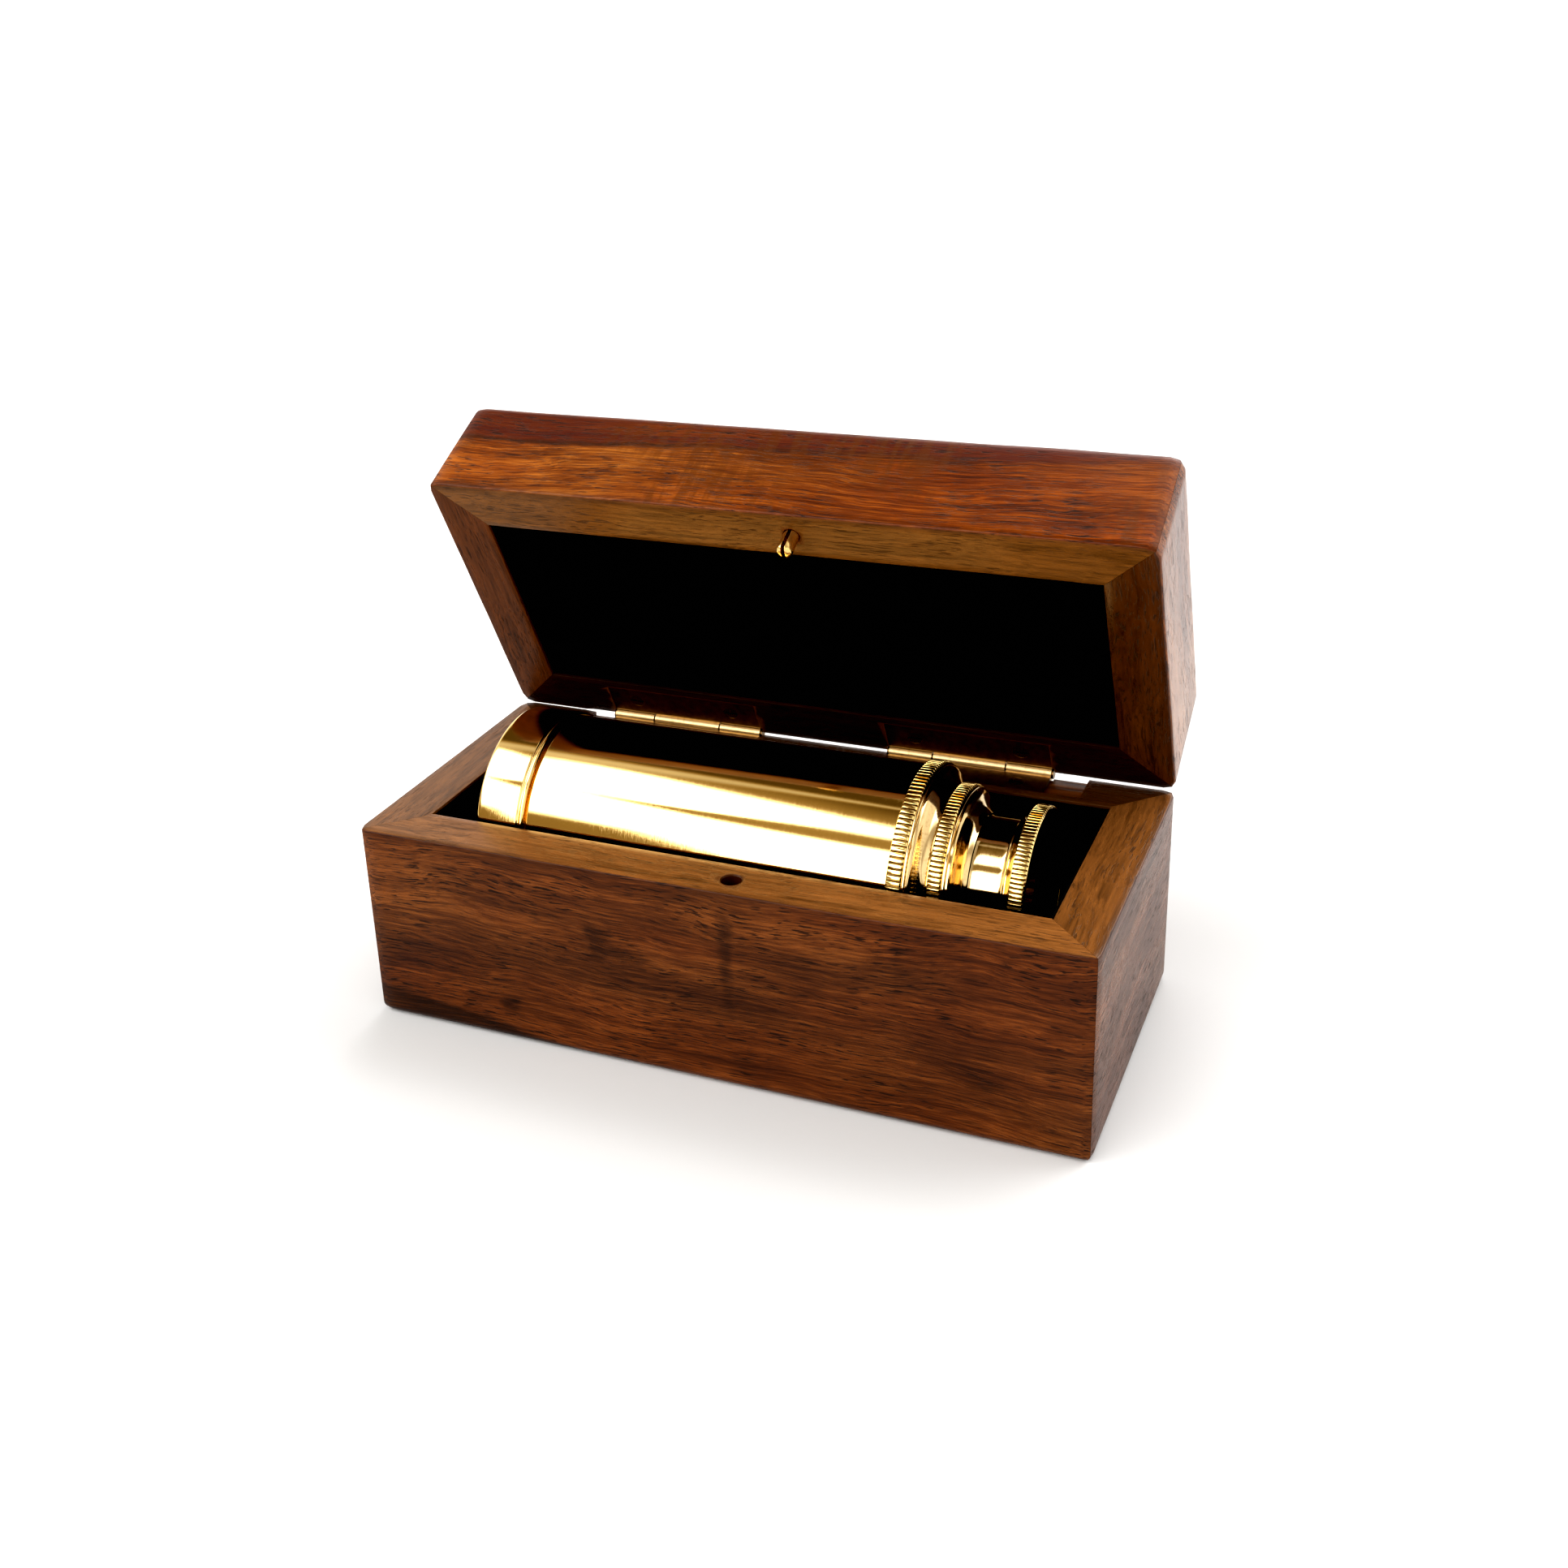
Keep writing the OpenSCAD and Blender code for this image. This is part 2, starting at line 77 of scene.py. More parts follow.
# ------------------------------------------------------------------ node helper
class NT:
    def __init__(self, tree):
        self.t = tree
        self.n = 0
    def new(self, kind, **props):
        nd = self.t.nodes.new(kind)
        nd.location = (self.n % 12 * 190, -(self.n // 12) * 260)
        self.n += 1
        for k, v in props.items():
            setattr(nd, k, v)
        return nd
    def put(self, sock, v):
        if v is None:
            return
        if hasattr(v, "is_linked") or hasattr(v, "links"):
            self.t.links.new(v, sock)
        else:
            sock.default_value = v
    def math(self, op, a, b=None, c=None, clamp=False):
        nd = self.new("ShaderNodeMath", operation=op, use_clamp=clamp)
        for s, v in zip(nd.inputs, (a, b, c)):
            self.put(s, v)
        return nd.outputs[0]
    def vmath(self, op, a, b=None):
        nd = self.new("ShaderNodeVectorMath", operation=op)
        self.put(nd.inputs[0], a)
        self.put(nd.inputs[1], b)
        return nd.outputs["Value"] if op in ("LENGTH", "DISTANCE", "DOT_PRODUCT") else nd.outputs[0]
    def noise(self, vec, scale, detail=2.0, rough=0.5, dist=0.0, dim="3D"):
        nd = self.new("ShaderNodeTexNoise", noise_dimensions=dim)
        self.put(nd.inputs["Vector"], vec)
        self.put(nd.inputs["Scale"], scale)
        self.put(nd.inputs["Detail"], detail)
        self.put(nd.inputs["Roughness"], rough)
        self.put(nd.inputs["Distortion"], dist)
        return nd.outputs["Fac"]
    def scale(self, vec, s):
        return self.vmath("MULTIPLY", vec, s)
    def ramp(self, fac, stops, interp="LINEAR"):
        nd = self.new("ShaderNodeValToRGB")
        nd.color_ramp.interpolation = interp
        els = nd.color_ramp.elements
        while len(els) > 1:
            els.remove(els[-1])
        els[0].position, els[0].color = stops[0][0], self.rgba(stops[0][1])
        for p, c in stops[1:]:
            e = els.new(p)
            e.color = self.rgba(c)
        self.put(nd.inputs[0], fac)
        return nd.outputs[0]
    @staticmethod
    def rgba(c):
        if isinstance(c, (int, float)):
            return (c, c, c, 1)
        return tuple(c) + (1,) if len(c) == 3 else tuple(c)
    def mix(self, fac, a, b, blend="MIX"):
        nd = self.new("ShaderNodeMix", data_type="RGBA", blend_type=blend, clamp_factor=True)
        self.put(nd.inputs[0], fac)
        for s, v in ((nd.inputs[6], a), (nd.inputs[7], b)):
            self.put(s, self.rgba(v) if isinstance(v, (tuple, list, float, int)) else v)
        return nd.outputs[2]
    def maprange(self, v, a, b, c, d, smooth=False):
        nd = self.new("ShaderNodeMapRange")
        if smooth:
            nd.interpolation_type = "SMOOTHSTEP"
        for s, x in zip(nd.inputs, (v, a, b, c, d)):
            self.put(s, x)
        return nd.outputs[0]
    def bump(self, h, strength, dist, normal=None):
        nd = self.new("ShaderNodeBump")
        self.put(nd.inputs["Strength"], strength)
        self.put(nd.inputs["Distance"], dist)
        self.put(nd.inputs["Height"], h)
        self.put(nd.inputs["Normal"], normal)
        return nd.outputs[0]


def material(name):
    m = bpy.data.materials.new(name)
    m.use_nodes = True
    t = m.node_tree
    t.nodes.clear()
    nt = NT(t)
    out = nt.new("ShaderNodeOutputMaterial")
    p = nt.new("ShaderNodeBsdfPrincipled")
    t.links.new(p.outputs[0], out.inputs[0])
    return m, nt, p, out


def coords(nt):
    """object coordinates in millimetres"""
    tc = nt.new("ShaderNodeTexCoord")
    return nt.scale(tc.outputs["Object"], (1000, 1000, 1000))


# ------------------------------------------------------------------ wood
def wood(name, dark, mid, light, rim, seed, tone=1.0, figure=0.0, spots=(), foot=None, band=None, wild=1.0, redden=0.0, gloss=0.22, satin=0.0, end=None):
    """Oiled rosewood. The mesh attribute 'grain' holds (along, across, depth) in mm; 'rim' is 1 on the sawn rims.
    spots: (along, across, size along, size across, strength). foot: (height at the left end, slope, strength) of a dark
    streak along the lower edge. band: (height, slope, softness, strength, tint) of darker heartwood along the upper edge."""
    m, nt, p, out = material(name)
    at = nt.new("ShaderNodeAttribute", attribute_name="grain")
    raw = at.outputs["Vector"]
    sep = nt.new("ShaderNodeSeparateXYZ")
    nt.put(sep.inputs[0], raw)
    g = nt.vmath("ADD", raw, (seed * 37.0, seed * 11.0, seed * 5.0))

    def soft(v, a, b, lo, hi):
        return nt.maprange(v, a, b, lo, hi, True)

    def mul(a, b):
        return nt.math("MULTIPLY", a, b)

    # slow waves of the grain
    w1 = nt.noise(nt.scale(g, (0.010, 0.022, 0.022)), 1.0, 1.0, 0.5)
    w2 = nt.noise(nt.scale(g, (0.05, 0.10, 0.10)), 1.0, 2.0, 0.5)
    warp = nt.math("ADD", mul(nt.math("SUBTRACT", w1, 0.5), 17.0 * wild), mul(nt.math("SUBTRACT", w2, 0.5), 3.4 * wild))
    cmb = nt.new("ShaderNodeCombineXYZ")
    nt.put(cmb.inputs[1], warp)
    nt.put(cmb.inputs[2], mul(warp, 0.5))
    gw = nt.vmath("ADD", g, cmb.outputs[0])
    # growth bands, then fibres of three sizes, each drawn out along the grain
    bands = nt.noise(nt.scale(gw, (0.005, 0.12, 0.09)), 1.0, 2.0, 0.5)
    mids = nt.noise(nt.scale(gw, (0.014, 0.50, 0.35)), 1.0, 3.0, 0.6)
    fib = nt.noise(nt.scale(gw, (0.055, 1.9, 1.4)), 1.0, 3.0, 0.65)
    fine = nt.noise(nt.scale(gw, (0.16, 4.6, 3.6)), 1.0, 2.0, 0.6)
    blot = nt.noise(nt.scale(g, (0.030, 0.055, 0.055)), 1.0, 3.0, 0.55)
    v = nt.math("ADD", mul(bands, 0.18), mul(mids, 0.24))
    v = nt.math("ADD", v, mul(fib, 0.32))
    v = nt.math("ADD", v, mul(fine, 0.26))
    v = nt.math("ADD", v, mul(nt.math("SUBTRACT", blot, 0.5), 0.22))
    v = nt.maprange(v, 0.385, 0.625, 0.0, 1.0)
    col = nt.ramp(v, [(0.0, dark), (0.28, tuple(0.5 * a + 0.5 * b for a, b in zip(dark, mid))), (0.52, mid), (0.80, light),
                      (1.0, tuple(1.2 * c for c in light))])
    # slow change of hue, redder to yellower
    hue = nt.noise(nt.scale(gw, (0.012, 0.06, 0.06)), 1.0, 2.0, 0.5)
    col = nt.mix(soft(hue, 0.38, 0.64, 0.0, 0.55 + redden), col, (1.06, 0.84, 0.70), "MULTIPLY")
    if end is not None:                        # the board darkens toward one end
        col = nt.mix(soft(sep.outputs[0], end[0], end[1], 0.0, 1.0), col, end[2], "MULTIPLY")
    if band is not None:                       # heartwood along one edge, parted from the rest by a dark line
        b_at, slope, sft, amount, tint = band
        edge = nt.math("ADD", mul(sep.outputs[0], slope), b_at)
        wob = mul(nt.math("SUBTRACT", nt.noise(nt.scale(raw, (0.030, 0.05, 0.1)), 1.0, 4.0, 0.6), 0.5), 7.0)
        d = nt.math("SUBTRACT", nt.math("ADD", sep.outputs[1], wob), edge)
        k = soft(d, -sft, sft, 0.0, 1.0)
        col = nt.mix(mul(k, amount), col, nt.mix(0.70, col, tint))
        fade = nt.maprange(sep.outputs[0], -30.0, 45.0, 1.0, 0.12)
        rag = nt.maprange(fib, 0.35, 0.62, 0.35, 1.0)
        col = nt.mix(mul(mul(soft(nt.math("ABSOLUTE", d), 0.15, 1.1, 0.85, 0.0), fade), rag), col, (0.020, 0.013, 0.010))
    # dark streaks and pores, thick in some places and thin in others
    st = soft(nt.noise(nt.scale(gw, (0.045, 1.5, 1.1)), 1.0, 3.0, 0.6), 0.57, 0.70, 0.0, 0.70)
    patch = soft(nt.noise(nt.scale(g, (0.022, 0.07, 0.07)), 1.0, 1.0, 0.5), 0.40, 0.60, 0.15, 1.0)
    col = nt.mix(mul(st, patch), col, dark)
    pores = nt.noise(nt.scale(gw, (0.23, 2.7, 2.7)), 1.0, 1.5, 0.5)
    po = soft(pores, 0.575, 0.64, 0.0, 0.88)
    popatch = soft(nt.noise(nt.scale(g, (0.05, 0.13, 0.13)), 1.0, 2.0, 0.5), 0.34, 0.60, 0.22, 1.0)
    po = mul(po, popatch)
    col = nt.mix(po, col, tuple(0.38 * c for c in dark))
    if figure:                                 # rippled cross figure
        rp = nt.noise(nt.scale(gw, (0.55, 0.06, 0.06)), 1.0, 2.0, 0.5)
        rpm = soft(nt.noise(nt.scale(g, (0.028, 0.06, 0.06)), 1.0, 1.0, 0.5), 0.40, 0.62, 0.0, 1.0)
        col = nt.mix(mul(soft(rp, 0.40, 0.62, 0.0, figure), rpm), col, tuple(0.55 * c for c in mid))
    wn = nt.new("ShaderNodeTexNoise")
    nt.put(wn.inputs["Vector"], nt.scale(raw, (0.22, 0.40, 0.3)))
    nt.put(wn.inputs["Scale"], 1.0)
    nt.put(wn.inputs["Detail"], 3.0)
    for (sx, sy, lx, ly, amt) in spots:        # knots and smudges
        wv = nt.vmath("SUBTRACT", raw, (sx, sy, 0))
        off = nt.scale(nt.vmath("SUBTRACT", wn.outputs["Color"], (0.5, 0.5, 0.5)), (1.6 * lx, 1.6 * ly, 0))
        wv = nt.scale(nt.vmath("ADD", wv, off), (1.0 / lx, 1.0 / ly, 0.0))
        k = mul(soft(nt.vmath("LENGTH", wv), 0.1, 1.0, amt, 0.0), nt.maprange(fib, 0.35, 0.6, 1.0, 0.55))
        col = nt.mix(k, col, tuple(0.5 * c for c in dark))
    if foot is not None:
        h0, slope, amount = foot
        top = nt.math("ADD", mul(nt.math("ADD", sep.outputs[0], 82.0), slope), h0)
        dd = nt.math("ADD", nt.math("SUBTRACT", top, sep.outputs[1]), mul(nt.math("SUBTRACT", mids, 0.5), 7.0))
        col = nt.mix(mul(soft(dd, -0.6, 1.0, 0.0, amount), nt.maprange(fib, 0.35, 0.65, 1.0, 0.7)), col, tuple(0.45 * c for c in dark))
    # sawn rims: paler and yellower as bare sawn wood, with dark pore dashes; their colour is also partly painted light
    # and shade, lighter on rims that face up to the light and darker on rims in shade
    ra = nt.new("ShaderNodeAttribute", attribute_name="rim")
    rn = nt.math("ADD", mul(nt.noise(nt.scale(gw, (0.018, 0.5, 0.5)), 1.0, 4.0, 0.65), 0.55), mul(fib, 0.45))
    rimcol = nt.ramp(rn, [(0.34, tuple(0.42 * c for c in rim)), (0.46, tuple(0.8 * c for c in rim)), (0.54, rim), (0.68, tuple(1.28 * c for c in rim))])
    rimcol = nt.mix(mul(st, 0.45), rimcol, tuple(0.35 * c for c in rim))
    rimcol = nt.mix(mul(po, 0.8), rimcol, tuple(0.25 * c for c in rim))
    col = nt.mix(ra.outputs["Fac"], col, rimcol)
    # arrises: a little darker where dirt and oil gather
    ea = nt.new("ShaderNodeAttribute", attribute_name="edge")
    col = nt.mix(mul(ea.outputs["Fac"], nt.maprange(blot, 0.35, 0.65, 0.05, 0.5)), col, tuple(0.8 * c for c in dark))
    if tone != 1.0:
        col = nt.mix(1.0, col, (tone, tone, tone), "MULTIPLY")
    nt.put(p.inputs["Base Color"], col)
    nt.put(p.inputs["Roughness"], nt.math("ADD", nt.maprange(v, 0.0, 1.0, 0.32 - satin, 0.24 - satin), mul(po, 0.2)))
    p.inputs["Specular IOR Level"].default_value = gloss
    hgt = nt.math("ADD", nt.math("SUBTRACT", 1.0, po), mul(fine, 0.4))
    hgt = nt.math("ADD", hgt, mul(fib, 0.35))
    nt.put(p.inputs["Normal"], nt.bump(hgt, 0.35, 0.00009))
    return m


# sheesham tones, linear
DARK = (0.034, 0.0098, 0.0034)
MID = (0.103, 0.0335, 0.0082)
LIGHT = (0.168, 0.060, 0.0150)
L_DARK = (0.050, 0.013, 0.004)
L_MID = (0.180, 0.058, 0.0130)
L_LIGHT = (0.290, 0.112, 0.0250)
# rim tones are partly painted light and shade: the upward base rims are lighter, the lid's rims darker where the lid
# shades them, and the back rims darkest
RIM_B = (0.250, 0.112, 0.036)
RIM_BR = (0.200, 0.088, 0.027)
RIM_L = (0.185, 0.080, 0.020)
RIM_LS = (0.120, 0.038, 0.009)
RIM_LID_BACK_SHADE = (0.030, 0.009, 0.003)

W_BASE_FRONT = wood("wood_base_front", DARK, MID, LIGHT, RIM_B, 1.0, spots=[
    (-24.5, 30.0, 4.6, 5.6, 0.80), (-19.0, 27.0, 12.0, 3.0, 0.75), (-46.5, 9.6, 3.8, 3.0, 0.98), (5.5, 31.0, 2.3, 18.0, 0.80),
    (-70.0, 30.0, 7.0, 1.2, 0.35), (60.0, 13.0, 8.0, 1.5, 0.55), (22.0, 26.0, 12.0, 1.3, 0.4)], foot=(7.6, -0.115, 0.96))
W_BASE_SIDE = wood("wood_base_side", DARK, MID, LIGHT, RIM_BR, 2.0, gloss=0.30)
# painted shade: the base's back rim is given a dark rim colour because it lies in the lid's shadow
W_BASE_BACK = wood("wood_base_back", DARK, MID, LIGHT, (0.085, 0.034, 0.011), 3.0)
W_BASE_FLOOR = wood("wood_base_floor", DARK, MID, LIGHT, RIM_B, 4.0, tone=0.85)
W_LID_FRONT = wood("wood_lid_front", L_DARK, L_MID, L_LIGHT, RIM_L, 5.3, figure=0.6,
                   band=(66.0, 0.045, 1.5, 0.95, (0.080, 0.017, 0.012)), end=(-50.0, 70.0, (0.70, 0.53, 0.30)))
# painted shade: the lid's side rims are given darker rim colours, the right one darker still, for the shade they lie in
W_LID_LEFT = wood("wood_lid_left", L_DARK, L_MID, L_LIGHT, (0.125, 0.042, 0.011), 6.1, gloss=0.13)
W_LID_RIGHT = wood("wood_lid_right", L_DARK, L_MID, L_LIGHT, (0.085, 0.030, 0.008), 6.6, gloss=0.55, satin=0.08)
# painted shade: the lid's back rim colour is near black because the rim lies in deep shadow
W_LID_BACK = wood("wood_lid_back", L_DARK, L_MID, L_LIGHT, RIM_LID_BACK_SHADE, 7.7)
W_LID_TOP = wood("wood_lid_top", L_DARK, L_MID, L_LIGHT, RIM_L, 8.9, figure=0.3)

# ------------------------------------------------------------------ other materials
def m_velvet():
    m, nt, p, out = material("black_velvet")
    c = coords(nt)
    pile = nt.noise(c, 3.2, 3.0, 0.7)
    mott = nt.noise(c, 0.09, 2.0, 0.5)
    nt.put(p.inputs["Base Color"], nt.ramp(nt.math("ADD", nt.math("MULTIPLY", pile, 0.6), nt.math("MULTIPLY", mott, 0.4)),
                                          [(0.3, (0.0012, 0.0011, 0.0012)), (0.7, (0.0042, 0.0038, 0.004))]))
    p.inputs["Roughness"].default_value = 1.0
    p.inputs["Specular IOR Level"].default_value = 0.08
    p.inputs["Sheen Weight"].default_value = 0.035
    p.inputs["Sheen Roughness"].default_value = 0.45
    p.inputs["Sheen Tint"].default_value = (0.8, 0.75, 0.8, 1)
    nt.put(p.inputs["Normal"], nt.bump(pile, 0.8, 0.0002))
    return m


def m_brass(name, tint, rough, spread, tarnish=0.0, lines=0.0, scratch=0.15):
    m, nt, p, out = material(name)
    c = coords(nt)
    p.inputs["Metallic"].default_value = 1.0
    cloud = nt.noise(c, 0.05, 3.0, 0.55)
    spots = nt.noise(c, 0.9, 3.0, 0.6)
    base = nt.mix(nt.maprange(cloud, 0.35, 0.68, 0.0, 1.0), tuple(0.95 * x for x in tint), tint)
    if tarnish:
        k = nt.math("MULTIPLY", nt.maprange(spots, 0.50, 0.72, 0.0, 1.0, True), tarnish)
        base = nt.mix(k, base, tuple(a * b for a, b in zip(tint, (0.55, 0.42, 0.28))))
    nt.put(p.inputs["Base Color"], base)
    # fine polishing lines run round the tube
    rr = nt.noise(nt.scale(c, (5.0, 0.35, 0.35)), 1.0, 3.0, 0.65)
    r = nt.maprange(rr, 0.3, 0.75, rough, rough + spread)
    nt.put(p.inputs["Roughness"], r)
    h = nt.math("ADD", nt.math("MULTIPLY", nt.noise(nt.scale(c, (9.0, 0.25, 0.25)), 1.0, 2.0, 0.6), 1.0),
                nt.math("MULTIPLY", nt.noise(nt.scale(c, (0.16, 0.10, 0.10)), 1.0, 1.0, 0.5), 1.5))
    nt.put(p.inputs["Normal"], nt.bump(h, scratch, 0.00004))
    return m


def m_plain(name, color, rough, metallic=0.0, var=0.25, scale=1.2, bump=0.2, **kw):
    m, nt, p, out = material(name)
    c = coords(nt)
    n = nt.noise(c, scale, 4.0, 0.6)
    nt.put(p.inputs["Base Color"], nt.ramp(n, [(0.3, tuple((1 - var) * x for x in color)), (0.7, tuple(min(1, (1 + var) * x) for x in color))]))
    nt.put(p.inputs["Roughness"], nt.maprange(n, 0.3, 0.7, max(0.02, rough - 0.05), rough + 0.07))
    p.inputs["Metallic"].default_value = metallic
    for k, v in kw.items():
        p.inputs[k.replace("_", " ")].default_value = v
    if bump:
        nt.put(p.inputs["Normal"], nt.bump(nt.noise(c, scale * 4, 3.0, 0.6), bump, 0.00005))
    return m


def m_glass(name, color, rough, bump=0.0):
    m, nt, p, out = material(name)
    c = coords(nt)
    p.inputs["Transmission Weight"].default_value = 1.0
    p.inputs["IOR"].default_value = 1.5
    n = nt.noise(c, 0.4, 2.0, 0.5)
    nt.put(p.inputs["Base Color"], nt.ramp(n, [(0.3, tuple(0.97 * x for x in color)), (0.7, color)]))
    nt.put(p.inputs["Roughness"], nt.maprange(n, 0.3, 0.7, rough, rough * 1.15 + 0.01))
    if bump:
        nt.put(p.inputs["Normal"], nt.bump(nt.noise(c, 6.0, 3.0, 0.7), bump, 0.00006))
    return m


def m_chips():
    m, nt, p, out = material("coloured_glass")
    geo = nt.new("ShaderNodeNewGeometry")
    col = nt.ramp(geo.outputs["Random Per Island"], [(0.0, (0.75, 0.03, 0.05)), (0.17, (0.03, 0.16, 0.70)), (0.34, (0.85, 0.45, 0.03)),
                                                     (0.5, (0.03, 0.42, 0.12)), (0.67, (0.30, 0.05, 0.55)), (0.84, (0.03, 0.50, 0.62))], "CONSTANT")
    nt.put(p.inputs["Base Color"], col)
    p.inputs["Transmission Weight"].default_value = 0.85
    p.inputs["Roughness"].default_value = 0.06
    return m


VELVET = m_velvet()
BRASS = m_brass("polished_brass", (0.92, 0.665, 0.295), 0.045, 0.05)
def knurl_dirt(mat):
    """polish residue darkens the grooves of the knurling"""
    nt = NT(mat.node_tree)
    nt.n = 40
    p = [n for n in mat.node_tree.nodes if n.type == "BSDF_PRINCIPLED"][0]
    at = nt.new("ShaderNodeAttribute", attribute_name="dirt")
    c = coords(nt)
    k = nt.math("MULTIPLY", nt.maprange(at.outputs["Fac"], 0.35, 0.95, 0.0, 1.0, True), nt.maprange(nt.noise(c, 0.7, 2.0, 0.6), 0.3, 0.7, 0.72, 1.0))
    old = p.inputs["Base Color"].links[0].from_socket
    nt.put(p.inputs["Base Color"], nt.mix(k, old, (0.085, 0.045, 0.014)))
    oldr = p.inputs["Roughness"].links[0].from_socket
    nt.put(p.inputs["Roughness"], nt.math("ADD", oldr, nt.math("MULTIPLY", k, 0.25)))
    return mat


COVE = m_brass("turned_coves", (0.74, 0.55, 0.29), 0.05, 0.05, tarnish=0.25)
KNURL = knurl_dirt(m_brass("knurled_brass", (0.88, 0.66, 0.30), 0.08, 0.05, tarnish=0.12, scratch=0.15))
def shade_leaf_plates(mat):
    """leaf plates lie in the dark between the rims and are painted dark brown there as painted shade; the knuckles near
    the pin stay bright
    """
    nt = NT(mat.node_tree)
    nt.n = 40
    p = [n for n in mat.node_tree.nodes if n.type == "BSDF_PRINCIPLED"][0]
    c = coords(nt)
    away = nt.vmath("LENGTH", nt.scale(nt.vmath("SUBTRACT", c, (0.0, PIN_Y, PIN_Z)), (0.0, 1.0, 1.0)))
    k = nt.maprange(away, 1.62, 2.3, 0.0, 1.0, True)
    old = p.inputs["Base Color"].links[0].from_socket
    blot = nt.noise(c, 0.5, 3.0, 0.6)
    leaf_shade_col = nt.ramp(blot, [(0.3, (0.10, 0.050, 0.020)), (0.7, (0.20, 0.11, 0.045))])
    # painted shade: beyond about 2 mm from the pin the leaf colour is mixed to dark brown, standing in for the shadow
    # between the rims
    nt.put(p.inputs["Base Color"], nt.mix(k, old, leaf_shade_col))
    return mat


HINGE = m_brass("hinge_brass", (0.16, 0.10, 0.045), 0.20, 0.12, tarnish=0.3, scratch=0.3)
# the leaf plates of this brass are painted dark as painted shade; the knuckles stay bright
LEAF = shade_leaf_plates(m_brass("hinge_leaf_brass", (0.58, 0.44, 0.25), 0.32, 0.10, tarnish=0.35, scratch=0.3))
TURNED = m_brass("turned_brass", (0.78, 0.56, 0.24), 0.2, 0.1, tarnish=0.2, scratch=0.5)
CATCH = m_brass("catch_brass", (0.86, 0.62, 0.27), 0.16, 0.10, tarnish=0.2, scratch=0.3)
STEEL = m_plain("spring_steel", (0.42, 0.42, 0.43), 0.28, 1.0)
MIRROR = m_plain("mirror_silver", (0.86, 0.88, 0.89), 0.03, 1.0, var=0.03, bump=0.0)
GLASS = m_glass("clear_glass", (0.96, 0.985, 0.98), 0.0)
FROST = m_glass("frosted_glass", (0.95, 0.96, 0.95), 0.45, 0.5)
CHIPS = m_chips()
BLACK_CARD = m_plain("black_card", (0.012, 0.012, 0.012), 0.85, bump=0.5)
GREY_CARD = m_plain("grey_card", (0.26, 0.21, 0.14), 0.85, bump=0.6)
BLACK_METAL = m_plain("black_metal", (0.02, 0.018, 0.016), 0.4)


def dress(obj, mat):
    obj.data.materials.clear()
    obj.data.materials.append(mat)


for names, mat in {
        ("left_hinge_base_leaf", "right_hinge_base_leaf", "left_hinge_lid_leaf", "right_hinge_lid_leaf"): LEAF,
        ("left_hinge_pin", "right_hinge_pin", "hinge_screws_base", "hinge_screws_lid"): HINGE,
        ("base_velvet_lining", "lid_velvet_lining"): VELVET,
        ("barrel_tube",): BRASS, ("eye_lens", "cell_inner_window"): GLASS, ("cell_outer_window",): FROST,
        ("eye_lens_ring",): BLACK_METAL, ("mirror_base", "mirror_front", "mirror_rear"): MIRROR,
        ("mirror_eye_mask", "mirror_object_mask"): BLACK_CARD, ("mirror_packing_rings",): GREY_CARD,
        ("cell_bearing_ring", "cell_spacer_ring", "cell_retaining_ring"): TURNED, ("cell_snap_ring",): STEEL,
        ("glass_chips",): CHIPS}.items():
    for n in names:
        dress(NODES[n], mat)


# ------------------------------------------------------------------ mesh helpers
def mesh_obj(name, verts, faces, mat, body, replaces=(), smooth=35.0, matrix=None, normals=True):
    me = bpy.data.meshes.new(name)
    me.from_pydata([tuple(c * MM for c in v) for v in verts], [], faces)
    if matrix is not None:
        me.transform(Matrix.Diagonal((MM, MM, MM, 1)) @ matrix @ Matrix.Diagonal((1 / MM, 1 / MM, 1 / MM, 1)))
    if normals:
        bm = bmesh.new()
        bm.from_mesh(me)
        bmesh.ops.recalc_face_normals(bm, faces=bm.faces)
        bm.to_mesh(me)
        bm.free()
    me.validate()
    o = bpy.data.objects.new(name, me)
    bpy.context.scene.collection.objects.link(o)
    me.materials.append(mat)
    shade(o, smooth)
    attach(o, body)
    if replaces:
        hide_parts(*replaces)
    return o


def shade(o, angle):
    me = o.data
    me.polygons.foreach_set("use_smooth", [True] * len(me.polygons))
    me.set_sharp_from_angle(angle=math.radians(angle))
    me.update()


def apply_mods(o):
    dg = bpy.context.evaluated_depsgraph_get()
    me = bpy.data.meshes.new_from_object(o.evaluated_get(dg), preserve_all_data_layers=True, depsgraph=dg)
    old = o.data
    o.modifiers.clear()
    o.data = me
    bpy.data.meshes.remove(old)


def limits(me):
    co = np.empty(len(me.vertices) * 3)
    me.vertices.foreach_get("co", co)
    co = co.reshape(-1, 3)
    return co.min(0), co.max(0)


def cut(o, cutters):
    """a cut never makes a piece bigger: if a solver leaves some of the cutter behind, the next one is used"""
    keep = o.data.copy()
    lo, hi = limits(keep)
    for solver in ("MANIFOLD", "EXACT"):
        o.data = keep.copy()
        for c in cutters:
            md = o.modifiers.new("cut", "BOOLEAN")
            md.operation = "DIFFERENCE"
            md.solver = solver
            md.object = c
        bpy.context.view_layer.update()
        apply_mods(o)
        if len(o.data.vertices) > len(keep.vertices):
            l2, h2 = limits(o.data)
            if (l2 > lo - 0.02 * MM).all() and (h2 < hi + 0.02 * MM).all():
                break
    for c in cutters:
        me = c.data
        bpy.data.objects.remove(c)
        bpy.data.meshes.remove(me)


